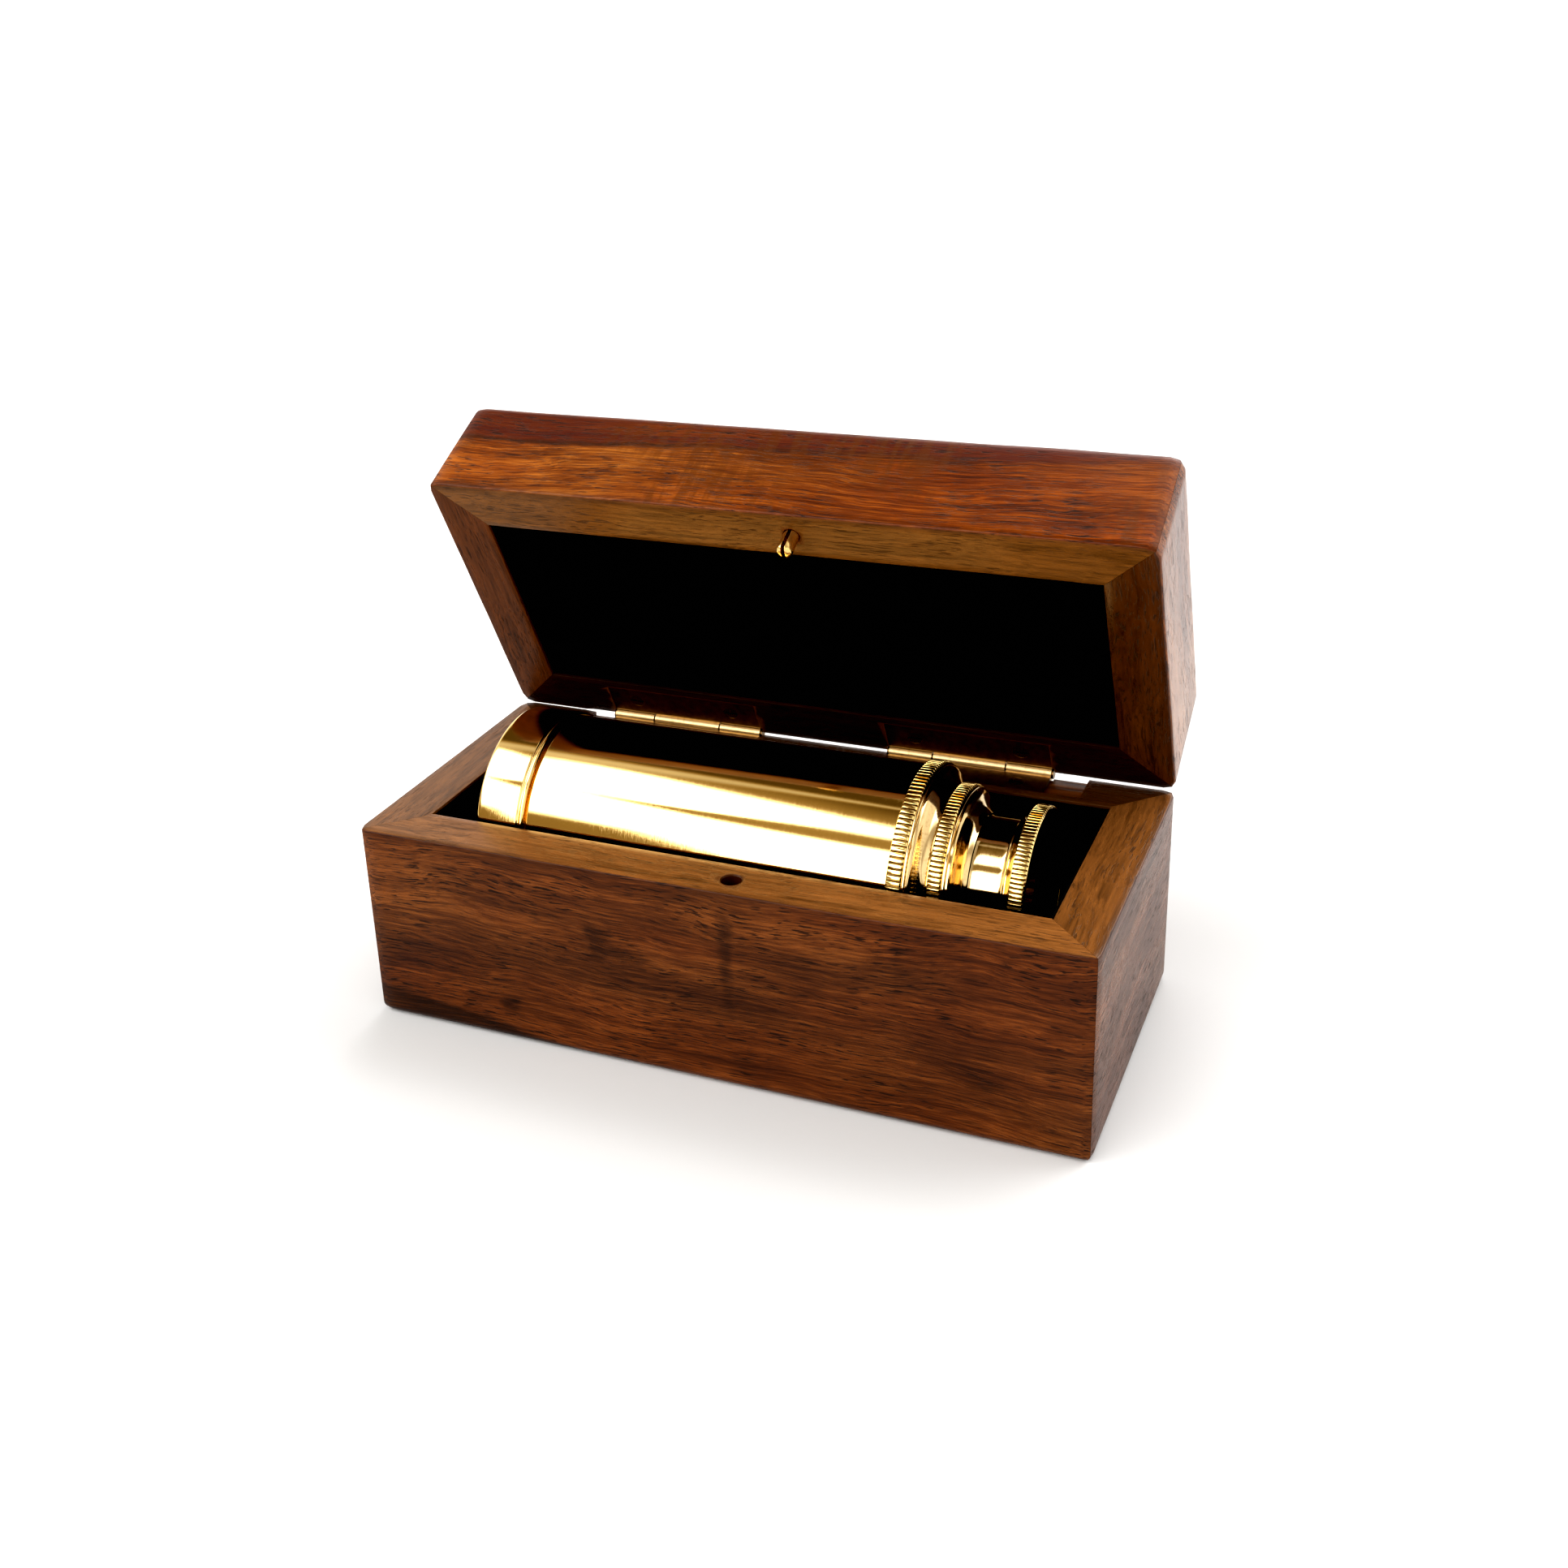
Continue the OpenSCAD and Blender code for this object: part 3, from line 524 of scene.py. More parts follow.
def tool_mesh(bm, matrix=None):
    me = bpy.data.meshes.new("tool")
    bmesh.ops.recalc_face_normals(bm, faces=bm.faces)
    bm.to_mesh(me)
    bm.free()
    me.transform(Matrix.Diagonal((MM, MM, MM, 1)) @ (matrix or Matrix.Identity(4)))
    o = bpy.data.objects.new("tool", me)
    bpy.context.scene.collection.objects.link(o)
    return o


def tool_box(lo, hi, matrix=None):
    bm = bmesh.new()
    c = [(a + b) / 2 for a, b in zip(lo, hi)]
    s = [b - a for a, b in zip(lo, hi)]
    bmesh.ops.create_cube(bm, size=1.0, matrix=Matrix.Translation(c) @ Matrix.Diagonal((*s, 1)))
    return tool_mesh(bm, matrix)


def tool_cyl(p, r, length, axis="Z", matrix=None, seg=48, r2=None):
    bm = bmesh.new()
    rot = {"Z": Matrix.Identity(4), "X": Matrix.Rotation(math.radians(90), 4, "Y")}[axis]
    bmesh.ops.create_cone(bm, cap_ends=True, segments=seg, radius1=r, radius2=r if r2 is None else r2, depth=length,
                          matrix=Matrix.Translation(p) @ rot)
    return tool_mesh(bm, matrix)


# ------------------------------------------------------------------ case boards
def hand(p, amp=1.0):
    """hand-sanded unevenness: a smooth displacement field, in mm, the same for neighbouring boards"""
    v = Vector(p)
    n = noise.noise_vector(v / 34.0) * 0.16 + noise.noise_vector(v / 11.0 + Vector((7, 3, 1))) * 0.05
    return n * amp


def arc(cx, cy, r, a0, a1, n):
    return [(cx + r * math.cos(math.radians(a0 + (a1 - a0) * i / n)), cy + r * math.sin(math.radians(a0 + (a1 - a0) * i / n)))
            for i in range(n + 1)]


def line(p, q, n):
    return [(p[0] + (q[0] - p[0]) * i / n, p[1] + (q[1] - p[1]) * i / n) for i in range(1, n)]


def board_section(z0, z1, rim_at, r_out, lip=0.0, e=0.45):
    """outline of a wall board in (depth, z): depth 0 is the outside face. rim_at 'top' for the base, 'bottom' for the lid."""
    e2 = 0.14          # eased inner edge of the rim; e is the outer edge's radius
    D = WALL + lip     # the front board keeps a narrow lip over the lining
    s = []
    h = z1 - z0
    # built for a base board (rim on top), z from 0 to h, then flipped for the lid
    s += arc(r_out, r_out, r_out, 270, 180, 6)                     # outer foot
    s += line((0, r_out), (0, h - e), 18)
    s += arc(e, h - e, e, 180, 90, 3)                              # outer rim arris
    s += line((e, h), (D - e2, h), 7)
    s += arc(D - e2, h - e2, e2, 90, 0, 2)
    s += [(D, h - 0.45), (WALL, h - 0.5)]
    s += line((WALL, h - 0.5), (WALL, 0.1), 8)
    s += [(WALL, 0.1), (WALL - 0.1, 0)]
    s += line((WALL - 0.1, 0), (r_out, 0), 4)
    tags = []
    for d, z in s:
        rim = 1.0 if z > h - 0.02 or (d > WALL - 0.5 and z > h - 2.0) else 0.0
        edge = 1.0 if (z > h - e - 0.02 and d < e + 0.02) else 0.0
        tags.append((rim, edge))
    if rim_at == "top":
        pts = [(d, z0 + z) for d, z in s]
    else:
        pts = [(d, z1 - z) for d, z in s]
    return pts, tags


def place(side, a, d, z):
    if side == 0:
        return (a, -HY + d, z)
    if side == 1:
        return (HX - d, a, z)
    if side == 2:
        return (-a, HY - d, z)
    return (-HX + d, -a, z)


def board(name, side, z0, z1, rim_at, r_out, mat, body, node, slot, seed, corners, matrix=None, n=72, amp=0.45):
    H = HX if side in (0, 2) else HY
    lip = 0.4 if (side == 0 and rim_at == "top") else 0.0
    sec, tags = board_section(z0, z1, rim_at, r_out, lip, 0.15 if side == 2 else (0.32 if rim_at == "top" else 0.4))
    k = len(sec)
    verts, grain, rim, edge = [], [], [], []
    if side in (1, 3):
        n = 36
    for i in range(n + 1):
        t = -1 + 2 * i / n
        t = math.copysign(abs(t) ** 0.92, t)
        r = corners[side] if t < 0 else corners[(side + 1) % 4]
        for (d, z), (tr, te) in zip(sec, tags):
            if d < r:
                straight, bend = H - r, (r - d) * math.pi / 4
                s = abs(t) * (straight + bend)
                if s <= straight:
                    a, dd = s, d
                else:
                    th = (s - straight) / max(r - d, 1e-6)
                    a, dd = H - r + (r - d) * math.sin(th), r - (r - d) * math.cos(th)
            else:
                a, dd = abs(t) * (H - d), d
            a = math.copysign(max(0.0, a - 0.03 * abs(t)), t)
            p = Vector(place(side, a, dd, z))
            q = p + hand(p, amp) * min(1.0, (z if rim_at == "top" else 9.0) / 3.0 + 0.15)
            if rim_at == "top" and z < 0.3:
                q.z = p.z
            near = max(0.0, min(1.0, (p.y - 5.0) / 28.0)) * 0.10      # the rims meet more closely along the hinges
            if rim_at == "top" and z > z1 - 0.7:
                q.z = p.z + near + (q.z - p.z) * 0.3
            if rim_at != "top" and z < z0 + 0.7:
                q.z = p.z - near + (q.z - p.z) * 0.3
            if side == 2:                                             # the back arrises nearly touch beyond the left hinge
                along = max(0.0, min(1.0, (HINGES["left"][0] - 6.5 - p.x) / 2.5)) * max(0.0, min(1.0, (81.9 + p.x) / 1.6))
                swell = along * max(0.0, 1.0 - abs(z - (z1 if rim_at == "top" else z0)) / 2.2) * max(0.0, 1.0 - dd / 3.5)
                q.y += swell * (p.y + 0.37 - q.y)
                q.z += along * 0.03 * max(0.0, 1.0 - dd / 3.5) * ((z > z1 - 0.3) if rim_at == "top" else -(z < z0 + 0.3))
            verts.append(tuple(q))
            grain.append((a + seed * 3.1, z, dd))
            rim.append(tr)
            edge.append(te)
    faces = []
    for i in range(n):
        for j in range(k):
            a0, a1 = i * k + j, i * k + (j + 1) % k
            faces.append((a0, a1, a1 + k, a0 + k))
    faces.append(tuple(range(k)))
    faces.append(tuple(n * k + j for j in reversed(range(k))))
    me = bpy.data.meshes.new(name)
    me.from_pydata([tuple(c * MM for c in v) for v in verts], [], faces)
    add_attr(me, "grain", "FLOAT_VECTOR", [c for g in grain for c in g])
    add_attr(me, "rim", "FLOAT", rim)
    add_attr(me, "edge", "FLOAT", edge)
    bm = bmesh.new()
    bm.from_mesh(me)
    bmesh.ops.recalc_face_normals(bm, faces=bm.faces)
    bm.to_mesh(me)
    bm.free()
    if matrix is not None:
        me.transform(Matrix.Diagonal((MM, MM, MM, 1)) @ matrix @ Matrix.Diagonal((1 / MM, 1 / MM, 1 / MM, 1)))
    o = bpy.data.objects.new(name, me)
    bpy.context.scene.collection.objects.link(o)
    me.materials.append(mat)
    return o


def add_attr(me, name, kind, flat):
    at = me.attributes.new(name, kind, "POINT")
    at.data.foreach_set("vector" if kind == "FLOAT_VECTOR" else "value", np.array(flat, np.float32))


def finish_board(o, body, node):
    shade(o, 32)
    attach(o, body)
    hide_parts(node)
    return o


def hinge_cuts(z_face, up, matrix=None):
    """cutters for the two leaf mortises; up is +1 for the base rim (cut from above), -1 for the lid rim"""
    tools = []
    for s, (x0, x1) in HINGES.items():
        xa, xb = x0 - 0.05, x1 + 0.05
        if s == "left":
            xa -= 6.0 * (up > 0)
        else:
            xb += 8.5 * (up > 0)
        lo = [xa, PIN_Y - 10.05, z_face - 0.95 if up > 0 else z_face - 2]
        hi = [xb, PIN_Y + 5, z_face + 2 if up > 0 else z_face + 0.95]
        tools.append(tool_box(lo, hi, matrix))
        tools.append(tool_cyl(((x0 + x1) / 2, PIN_Y, PIN_Z), 1.72, x1 - x0 + 1.1, "X", matrix))
    return tools


for side, nm, mat, seed in ((0, "front", W_BASE_FRONT, 0.0), (1, "right", W_BASE_SIDE, 4.0), (2, "back", W_BASE_BACK, 9.0), (3, "left", W_BASE_SIDE, 15.0)):
    o = board("case_base_" + nm, side, 0.0, BASE_H, "top", FOOT_R, mat, "case_base", "base_%s_wall" % nm, "base_wood", seed, BASE_CORNERS)
    if nm == "front":
        cut(o, [tool_cyl((CATCH_X, -HY + WALL / 2, BASE_H - 3.0), 2.15, 9.0), tool_cyl((CATCH_X, -HY + WALL / 2, BASE_H), 2.0, 0.9, r2=2.75)])
    if nm == "back":
        cut(o, hinge_cuts(BASE_H, 1))
    finish_board(o, "case_base", "base_%s_wall" % nm)
for side, nm, mat, seed in ((0, "front", W_LID_FRONT, 0.0), (1, "right", W_LID_RIGHT, 4.0), (2, "back", W_LID_BACK, 9.0), (3, "left", W_LID_LEFT, 15.0)):
    o = board("case_lid_" + nm, side, RIM_Z, RIM_Z + LID_H, "bottom", CROWN_R, mat, "lid", "lid_%s_rail" % nm, "lid_wood", seed, LID_CORNERS, matrix=LID_REST, amp=1.2)
    if nm == "front":
        cut(o, [tool_cyl((CATCH_X, -HY + WALL / 2, RIM_Z + 3.0), 1.9, 9.0, matrix=LID_REST)])
    if nm == "back":
        cut(o, hinge_cuts(RIM_Z, -1, LID_REST))
    finish_board(o, "lid", "lid_%s_rail" % nm)


def panel(name, z0, z1, face_top, mat, body, node, matrix=None, amp=0.45):
    """flat board let in between the walls; its outside face follows the same unevenness as the walls"""
    nx, ny = 60, 22
    hx, hy = IX - 0.04, IY - 0.04
    verts, faces, grain = [], [], []
    for layer, z in enumerate((z0, z1)):
        for j in range(ny + 1):
            for i in range(nx + 1):
                x, y = -hx + 2 * hx * i / nx, -hy + 2 * hy * j / ny
                p = Vector((x, y, z))
                outer = (layer == 1) == face_top
                if outer:
                    q = p + hand(p, amp) * (1.0 if face_top else 0.0)
                    if i in (0, nx) or j in (0, ny):
                        q.z += -0.08 if face_top else 0.08
                else:
                    q = p
                verts.append(tuple(q))
                grain.append((x, y, z))
    def vid(l, i, j):
        return l * (nx + 1) * (ny + 1) + j * (nx + 1) + i
    for j in range(ny):
        for i in range(nx):
            faces.append((vid(0, i, j), vid(0, i, j + 1), vid(0, i + 1, j + 1), vid(0, i + 1, j)))
            faces.append((vid(1, i, j), vid(1, i + 1, j), vid(1, i + 1, j + 1), vid(1, i, j + 1)))
    for i in range(nx):
        faces.append((vid(0, i, 0), vid(0, i + 1, 0), vid(1, i + 1, 0), vid(1, i, 0)))
        faces.append((vid(0, i + 1, ny), vid(0, i, ny), vid(1, i, ny), vid(1, i + 1, ny)))
    for j in range(ny):
        faces.append((vid(0, 0, j + 1), vid(0, 0, j), vid(1, 0, j), vid(1, 0, j + 1)))
        faces.append((vid(0, nx, j), vid(0, nx, j + 1), vid(1, nx, j + 1), vid(1, nx, j)))
    me = bpy.data.meshes.new(name)
    me.from_pydata([tuple(c * MM for c in v) for v in verts], [], faces)
    add_attr(me, "grain", "FLOAT_VECTOR", [c for g in grain for c in g])
    if matrix is not None:
        me.transform(Matrix.Diagonal((MM, MM, MM, 1)) @ matrix @ Matrix.Diagonal((1 / MM, 1 / MM, 1 / MM, 1)))
    o = bpy.data.objects.new(name, me)
    bpy.context.scene.collection.objects.link(o)
    me.materials.append(mat)
    return finish_board(o, body, node)


panel("case_base_bottom", 0.05, FLOOR_T, False, W_BASE_FLOOR, "case_base", "base_bottom_board")
panel("case_lid_top", RIM_Z + LID_H - TOP_T, RIM_Z + LID_H, True, W_LID_TOP, "lid", "lid_top_board", LID_REST, amp=1.2)


# ------------------------------------------------------------------ turned brass
def fillet(pts, radii, seg=4):
    """rounds the corners of a closed outline; radii is one number or one per corner"""
    out = []
    n = len(pts)
    for i in range(n):
        r = radii if isinstance(radii, (int, float)) else radii[i]
        p0, p1, p2 = Vector(pts[i - 1]), Vector(pts[i]), Vector(pts[(i + 1) % n])
        a, b = p0 - p1, p2 - p1
        if r <= 0 or a.length < 1e-6 or b.length < 1e-6:
            out.append(tuple(p1))
            continue
        turn = abs(a.angle(b))
        if turn > math.radians(172):
            out.append(tuple(p1))
            continue
        la, lb = min(r, 0.45 * a.length), min(r, 0.45 * b.length)
        q0, q2 = p1 + a.normalized() * la, p1 + b.normalized() * lb
        for k in range(seg + 1):
            u = k / seg
            out.append(tuple(q0 * (1 - u) ** 2 + p1 * 2 * u * (1 - u) + q2 * u ** 2))
    return out


def lathe(name, pts, mat, body, replaces=(), seg=192, smooth=28.0):
    """closed outline of (x, radius) turned about the tube's axis"""
    k = len(pts)
    verts, faces = [], []
    for i in range(seg):
        th = 2 * math.pi * i / seg
        c, s = math.cos(th), math.sin(th)
        for x, r in pts:
            verts.append((x, r * c, TUBE_Z + r * s))
    for i in range(seg):
        a, b = i * k, ((i + 1) % seg) * k
        for j in range(k):
            j2 = (j + 1) % k
            faces.append((a + j, a + j2, b + j2, b + j))
    return mesh_obj(name, verts, faces, mat, body, replaces, smooth)


def knurl(name, x0, x1, r_tip, r_in, teeth, mat, body, depth=0.50, chamfer=0.38, replaces=()):
    """straight-knurled band: flat lands with narrow grooves between them, chamfered at both edges"""
    prof = [(x0, r_in, 0), (x0, r_tip - chamfer - 0.18, 0), (x0 + 0.10, r_tip - chamfer, 0.0), (x0 + chamfer * 0.8, r_tip - 0.03, 1),
            (x0 + chamfer, r_tip, 1), ((x0 + x1) / 2, r_tip, 1), (x1 - chamfer, r_tip, 1), (x1 - chamfer * 0.8, r_tip - 0.03, 1),
            (x1 - 0.10, r_tip - chamfer, 0.0), (x1, r_tip - chamfer - 0.18, 0), (x1, r_in, 0)]
    tooth = [(0.0, 0.14), (0.05, 0.03), (0.14, 0.0), (0.50, 0.0), (0.59, 0.03), (0.64, 0.14), (0.72, 0.92), (0.82, 1.0), (0.92, 0.92)]
    k = len(prof)
    verts, faces = [], []
    rows = []
    for t in range(teeth):
        for u, g in tooth:
            rows.append(((t + u) / teeth * 2 * math.pi, g, t))
    for th, g, t in rows:
        c, s = math.cos(th), math.sin(th)
        wob = 0.03 * math.sin(t * 12.9898 + 4.1)
        for x, r, w in prof:
            rr = r - depth * g * w + (wob if w else 0) * 0.5
            verts.append((x, rr * c, TUBE_Z + rr * s))
    m = len(rows)
    for i in range(m):
        a, b = i * k, ((i + 1) % m) * k
        for j in range(k):
            j2 = (j + 1) % k
            faces.append((a + j, a + j2, b + j2, b + j))
    o = mesh_obj(name, verts, faces, mat, body, replaces, 24.0)
    dirt = [min(1.0, g * 1.15) if w or x in (prof[2][0], prof[8][0]) else 0.0 for th, g, t in rows for x, r, w in prof]
    add_attr(o.data, "dirt", "FLOAT", dirt)
    return o


def smooth_curve(ctrl, n):
    """Catmull-Rom through (x, r) points"""
    P = [Vector(ctrl[0])] + [Vector(c) for c in ctrl] + [Vector(ctrl[-1])]
    out = []
    for i in range(1, len(P) - 2):
        for k in range(n):
            u = k / n
            a, b, c, d = P[i - 1], P[i], P[i + 1], P[i + 2]
            out.append(tuple(0.5 * ((2 * b) + (c - a) * u + (2 * a - 5 * b + 4 * c - d) * u ** 2 + (3 * b - a - 3 * c + d) * u ** 3)))
    out.append(tuple(P[-2]))
    return out


# barrel: thin bright tube with eased ends
lathe("tube_barrel", fillet([(-48.7, 22.2), (34.9, 22.2), (34.9, 23.2), (-48.7, 23.2)], [0.1, 0.05, 0.05, 0.35], 4), BRASS,
      "kaleidoscope", ["barrel_tube"], seg=256)
# end collar: spigot, seat of the knurled ring, bead and cove
cove1 = smooth_curve([(39.0, 23.35), (39.5, 22.9), (40.2, 21.6), (41.1, 20.3), (42.2, 19.5)], 5)
lathe("tube_end_collar", fillet([(24.9, 21.0), (24.9, 22.15), (34.95, 22.15), (34.95, 23.5), (38.25, 23.5), (38.3, 23.85), (38.75, 23.85), (38.9, 23.35)], 0.12, 3)
      + cove1 + [(42.3, 19.5), (42.35, 17.05), (35.9, 17.05), (34.9, 21.0)], COVE, "kaleidoscope", ["end_collar"], seg=256)
knurl("tube_ring_large", 34.9, 38.3, 24.3, 23.0, 128, KNURL, "kaleidoscope")
# eyepiece adaptor
cove2 = smooth_curve([(46.5, 19.2), (46.9, 18.6), (47.5, 17.1), (48.3, 15.6), (49.3, 14.75)], 5)
lathe("tube_adaptor", fillet([(37.0, 15.4), (37.0, 16.95), (42.45, 16.95), (42.45, 19.6), (45.45, 19.6), (45.5, 19.95), (46.0, 19.95), (46.15, 19.3)], 0.12, 3)
      + cove2 + [(49.36, 14.7), (49.38, 12.65), (41.0, 12.65), (40.9, 15.4)], COVE, "kaleidoscope", ["eyepiece_adaptor"], seg=256)
knurl("tube_ring_middle", 42.4, 45.5, 20.4, 19.1, 120, KNURL, "kaleidoscope")
# eyecup
neck = smooth_curve([(49.5, 14.35), (50.3, 14.2), (53.0, 14.2), (55.8, 14.2)], 4)
flare = smooth_curve([(57.15, 14.35), (57.5, 14.9), (58.0, 15.9), (58.6, 17.2)], 4)
bead = [(56.1, 14.25), (56.25, 14.65), (56.5, 14.85), (56.75, 14.75), (56.95, 14.35)]
dish = smooth_curve([(62.0, 16.7), (61.6, 15.5), (60.6, 12.2), (59.7, 8.8), (59.1, 6.2), (58.9, 5.5)], 5)
lathe("tube_eyecup", [(44.4, 10.5), (44.4, 12.6), (49.42, 12.6), (49.44, 14.2)] + neck + bead + flare + [(58.7, 17.25), (61.95, 17.25)] + dish
      + [(55.0, 5.5), (55.0, 10.5)], COVE, "kaleidoscope", ["eyecup"], seg=256)
knurl("tube_ring_eye", 58.7, 62.0, 18.1, 16.9, 116, KNURL, "kaleidoscope")
# object cell housing
lathe("tube_cell", fillet([(-61.0, 18.9), (-61.0, 23.2), (-60.75, 23.7), (-60.2, 23.9), (-50.9, 23.9), (-50.62, 23.55), (-50.36, 23.55),
                           (-50.1, 23.84), (-49.62, 23.84), (-49.3, 23.4), (-49.3, 21.65), (-50.3, 21.65), (-50.3, 22.2), (-51.5, 22.2),
                           (-51.5, 21.65), (-59.9, 21.65), (-59.9, 18.6), (-60.7, 18.6)],
                          [0.3, 0.3, 0.25, 0.4, 0.12, 0.1, 0.1, 0.2, 0.2, 0.1, 0, 0, 0, 0, 0, 0, 0.1, 0.1], 4), BRASS,
      "object_cell", ["cell_housing"], seg=256)

# ------------------------------------------------------------------ split catch pin
def catch_pin():
    bm = bmesh.new()
    seg, rings = 40, []
    L0 = -5.5
    prof = [(L0, 0.0), (L0, 0.7), (L0 + 0.06, 1.05), (L0 + 0.22, 1.42), (L0 + 0.5, 1.68), (L0 + 0.95, 1.8), (L0 + 2.4, 1.8), (-0.2, 1.74), (0.0, 1.78), (6.0, 1.78)]
    c = Vector((CATCH_X, -HY + WALL / 2, RIM_Z))
    vs = []
    for z, r in prof:
        vs.append([bm.verts.new(c + Vector((r * math.cos(2 * math.pi * i / seg), r * math.sin(2 * math.pi * i / seg), z))) for i in range(seg)] if r > 0 else None)
    tip = bm.verts.new(c + Vector((0, 0, L0)))
    end = bm.verts.new(c + Vector((0, 0, 6.0)))
    for i in range(seg):
        bm.faces.new((tip, vs[1][i], vs[1][(i + 1) % seg]))
        bm.faces.new((end, vs[-1][(i + 1) % seg], vs[-1][i]))
        for j in range(1, len(vs) - 1):
            bm.faces.new((vs[j][i], vs[j + 1][i], vs[j + 1][(i + 1) % seg], vs[j][(i + 1) % seg]))
    bmesh.ops.recalc_face_normals(bm, faces=bm.faces)
    me = bpy.data.meshes.new("catch_split_pin")
    bm.to_mesh(me)
    bm.free()
    me.transform(Matrix.Diagonal((MM, MM, MM, 1)) @ LID_REST)
    o = bpy.data.objects.new("catch_split_pin", me)
    bpy.context.scene.collection.objects.link(o)
    me.materials.append(CATCH)
    x, y = CATCH_X, -HY + WALL / 2
    cut(o, [tool_box((x - 0.42, y - 3, RIM_Z - 7), (x + 0.42, y + 3, RIM_Z + 2.0), LID_REST)])
    md = o.modifiers.new("ease", "BEVEL")
    md.width, md.segments, md.limit_method, md.angle_limit = 0.12 * MM, 2, "ANGLE", math.radians(50)
    apply_mods(o)
    shade(o, 40)
    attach(o, "lid")
    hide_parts("catch_pin")


catch_pin()
for n in ("left_hinge_base_leaf", "right_hinge_base_leaf", "left_hinge_lid_leaf", "right_hinge_lid_leaf"):
    md = NODES[n].modifiers.new("ease", "BEVEL")
    md.width, md.segments, md.limit_method, md.angle_limit = 0.12 * MM, 2, "ANGLE", math.radians(45)

# ------------------------------------------------------------------ stage, light, camera
me = bpy.data.meshes.new("floor")
me.from_pydata([(-9, -9, 0), (9, -9, 0), (9, 9, 0), (-9, 9, 0)], [], [(0, 1, 2, 3)])
floor = bpy.data.objects.new("floor", me)
bpy.context.scene.collection.objects.link(floor)
fm, nt, p, out = material("floor_white")
p.inputs["Base Color"].default_value = (0.61, 0.61, 0.613, 1)
p.inputs["Roughness"].default_value = 0.9
p.inputs["Specular IOR Level"].default_value = 0.1
me.materials.append(fm)

TENT, KEY_BACK, ROOF = 3.5, 3.9, 0.5
world = bpy.data.worlds.new("tent")
bpy.context.scene.world = world
world.use_nodes = True
world.node_tree.nodes.clear()
nt = NT(world.node_tree)
wo = nt.new("ShaderNodeOutputWorld")
bg = nt.new("ShaderNodeBackground")
world.node_tree.links.new(bg.outputs[0], wo.inputs[0])
tc = nt.new("ShaderNodeTexCoord")
sep = nt.new("ShaderNodeSeparateXYZ")
nt.put(sep.inputs[0], tc.outputs["Generated"])
X, Y, Z = sep.outputs
# a light tent: a bright white wall and slope in front on the left, a joint in the cloth between them, a plain dimmer roof,
# and a broad window light from behind
def band(v, lo0, lo1, hi0=None, hi1=None):
    k = nt.maprange(v, lo0, lo1, 0.0, 1.0, True)
    if hi0 is not None:
        k = nt.math("MULTIPLY", k, nt.maprange(v, hi0, hi1, 1.0, 0.0, True))
    return k


def lerp(k, a, b):
    nd = nt.new("ShaderNodeMix", data_type="FLOAT")
    nt.put(nd.inputs[0], k)
    nt.put(nd.inputs[2], a)
    nt.put(nd.inputs[3], b)
    return nd.outputs[0]


azi = nt.math("ARCTAN2", X, nt.math("MULTIPLY", Y, -1.0))
slope = nt.math("DIVIDE", nt.math("ADD", X, Y), nt.math("MAXIMUM", Z, 0.01))
val = lerp(band(Y, -0.02, 0.35), ROOF, 1.0)
back = nt.math("MULTIPLY", nt.math("MULTIPLY", band(Y, 0.10, 0.40), band(X, -0.45, 0.05)), band(Z, 0.30, 0.50, 0.88, 0.95))
val = lerp(back, val, KEY_BACK)
dim = nt.math("MULTIPLY", band(azi, -2.75, -2.45, -2.0, -1.78), band(Z, 0.5, 0.75))
val = lerp(dim, val, 0.12)
side = nt.math("MULTIPLY", band(azi, 0.12, 0.45, 1.25, 1.7), band(Z, 0.08, 0.18, 0.55, 0.72))
val = lerp(side, val, 1.15)
tent = nt.math("MULTIPLY", band(azi, -1.75, -1.5, -0.15, 0.25), nt.maprange(slope, -0.60, -0.49, 1.0, 0.0, True))
foot_z = nt.maprange(azi, -0.52, -0.36, 0.33, 0.15)
bright = lerp(nt.maprange(nt.math("SUBTRACT", Z, foot_z), -0.03, 0.07, 0.0, 1.0, True), 0.3, TENT)
seam_w = nt.maprange(azi, -0.75, -0.42, 0.015, 0.076)
seam_z = nt.maprange(azi, -0.75, -0.42, 0.716, 0.760)
seam = nt.math("DIVIDE", nt.math("ABSOLUTE", nt.math("SUBTRACT", Z, seam_z)), seam_w)
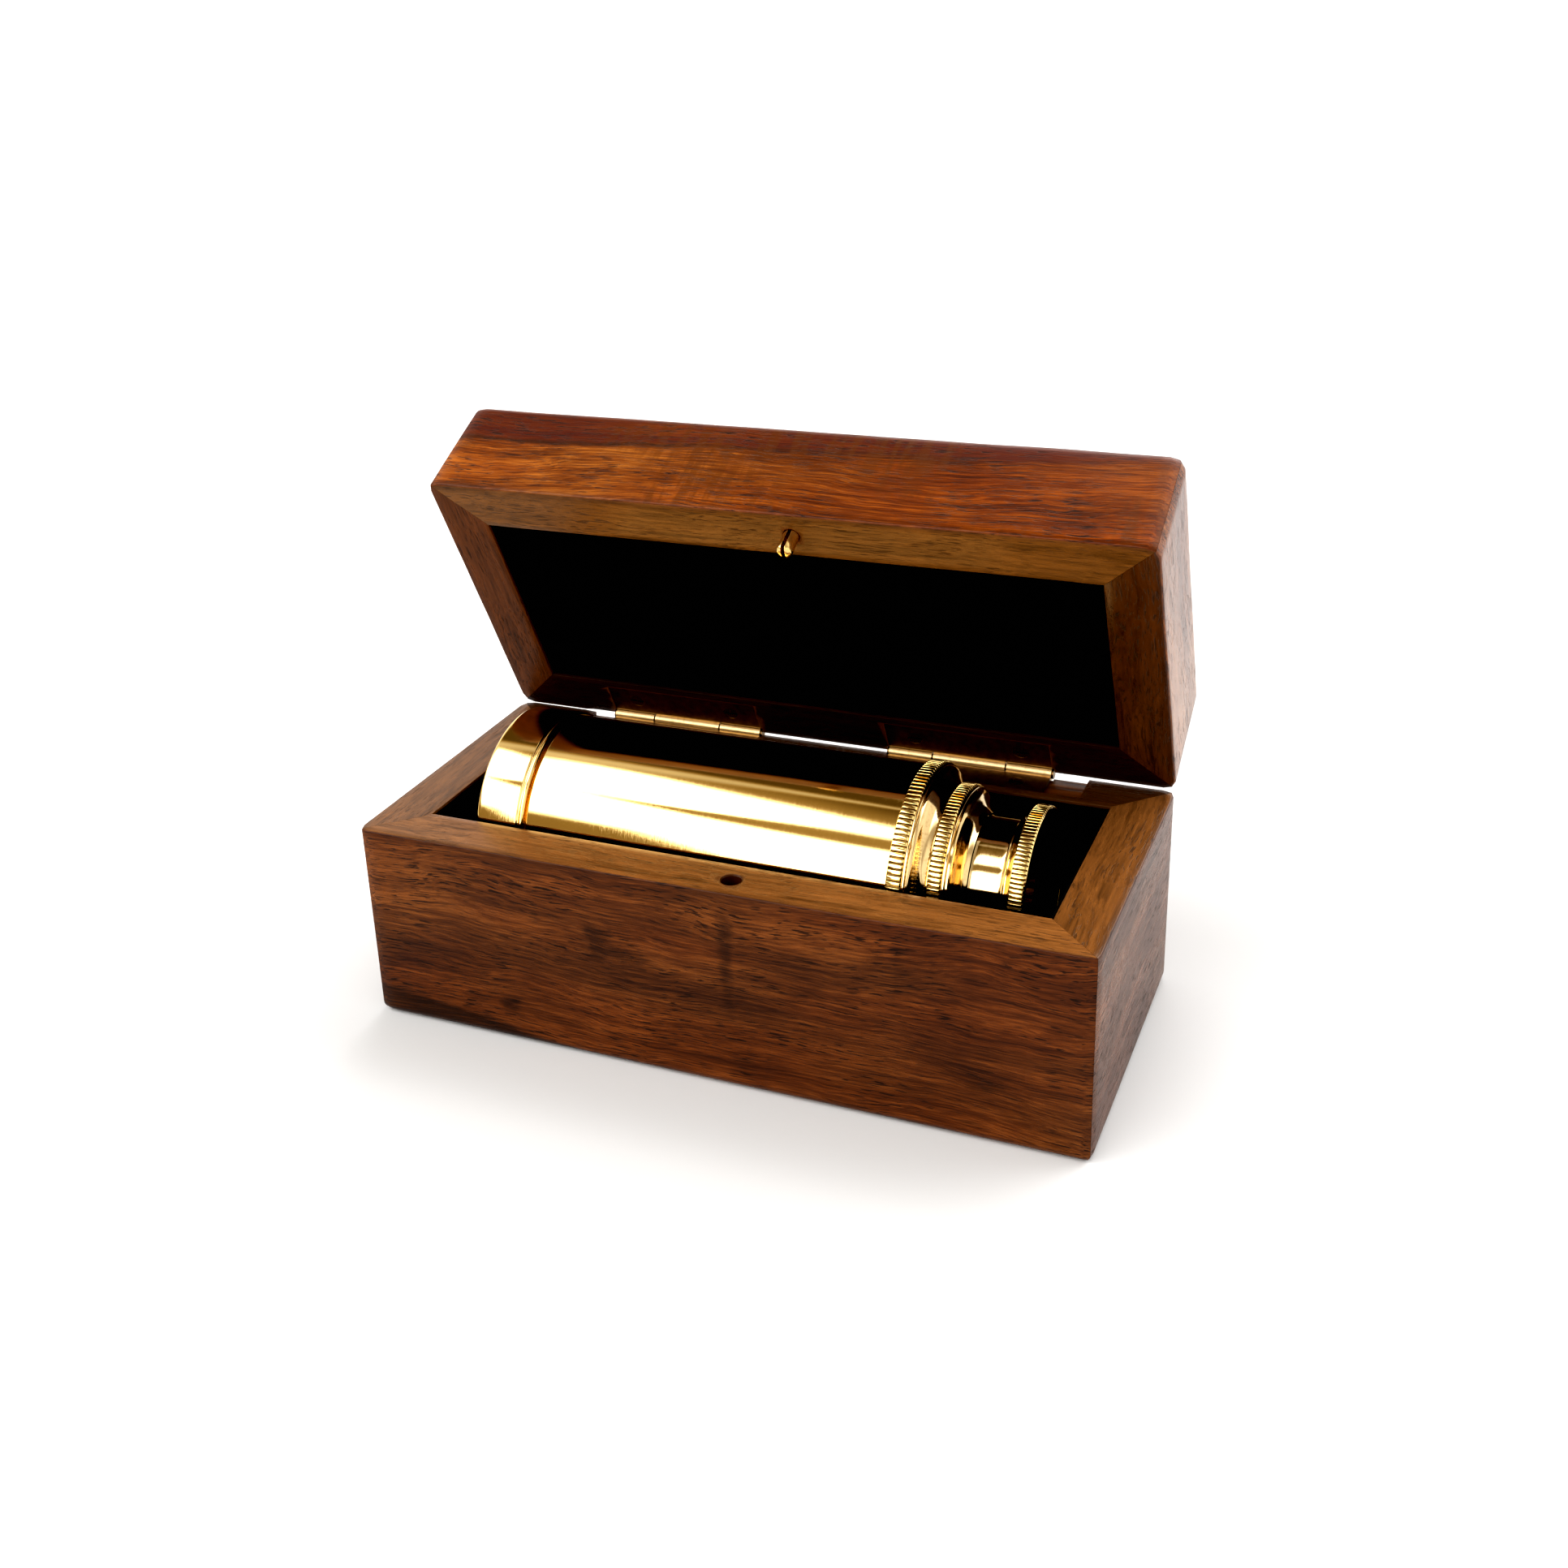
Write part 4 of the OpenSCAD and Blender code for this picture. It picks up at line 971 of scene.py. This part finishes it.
seam = nt.math("MULTIPLY", nt.maprange(seam, 0.55, 1.35, 1.0, 0.0, True), band(azi, -1.0, -0.72))
bright = lerp(seam, bright, 0.36)
strip = nt.math("MULTIPLY", band(azi, -1.75, -1.5, -0.15, 0.25), band(slope, -0.60, -0.50, -0.10, 0.15))
val = lerp(nt.math("MULTIPLY", strip, band(Z, 0.2, 0.35)), val, nt.maprange(slope, -0.52, -0.12, 0.36, 0.12, True))
val = lerp(tent, val, bright)
low = nt.math("MULTIPLY", nt.maprange(Z, 0.06, 0.14, 1.0, 0.0, True), nt.math("SUBTRACT", 1.0, tent))
low = nt.math("MAXIMUM", low, nt.maprange(Z, 0.05, 0.11, 1.0, 0.0, True))
val = nt.math("MAXIMUM", val, nt.math("MULTIPLY", low, 1.12))
# the backdrop itself is plain white from every side; the tent is only there in the light and the reflections
val = lerp(nt.new("ShaderNodeLightPath").outputs["Is Camera Ray"], val, 1.12)
nt.put(bg.inputs["Color"], nt.ramp(val, [(0.14, (1.0, 0.74, 0.36)), (0.36, (1.0, 0.80, 0.46)), (0.50, (1.0, 0.95, 0.87)), (0.95, (1.0, 0.995, 0.985))]))
nt.put(bg.inputs["Strength"], val)

cam_data = bpy.data.cameras.new("camera")
cam = bpy.data.objects.new("camera", cam_data)
bpy.context.scene.collection.objects.link(cam)
VIEW = ((0.919016, -0.113045, 0.377664, 0.141521),
      (0.392339, 0.355741, -0.848244, -0.329144),
      (-0.038461, 0.927722, 0.371284, 0.225152),
      (0.000000, 0.000000, 0.000000, 1.000000))
cam_data.sensor_width = 36.0
cam_data.lens = 41.637
cam_data.shift_x, cam_data.shift_y = 0.0279, -0.0781
cam_data.clip_start, cam_data.clip_end = 0.02, 40.0
cam.matrix_world = Matrix(VIEW)
bpy.context.scene.camera = cam
bpy.context.scene.view_settings.view_transform = "Standard"
bpy.context.scene.view_settings.look = "High Contrast"
bpy.context.scene.view_settings.use_curve_mapping = True
bpy.context.scene.view_settings.curve_mapping.black_level = (0.008, 0.008, 0.008)
bpy.context.scene.view_settings.curve_mapping.update()
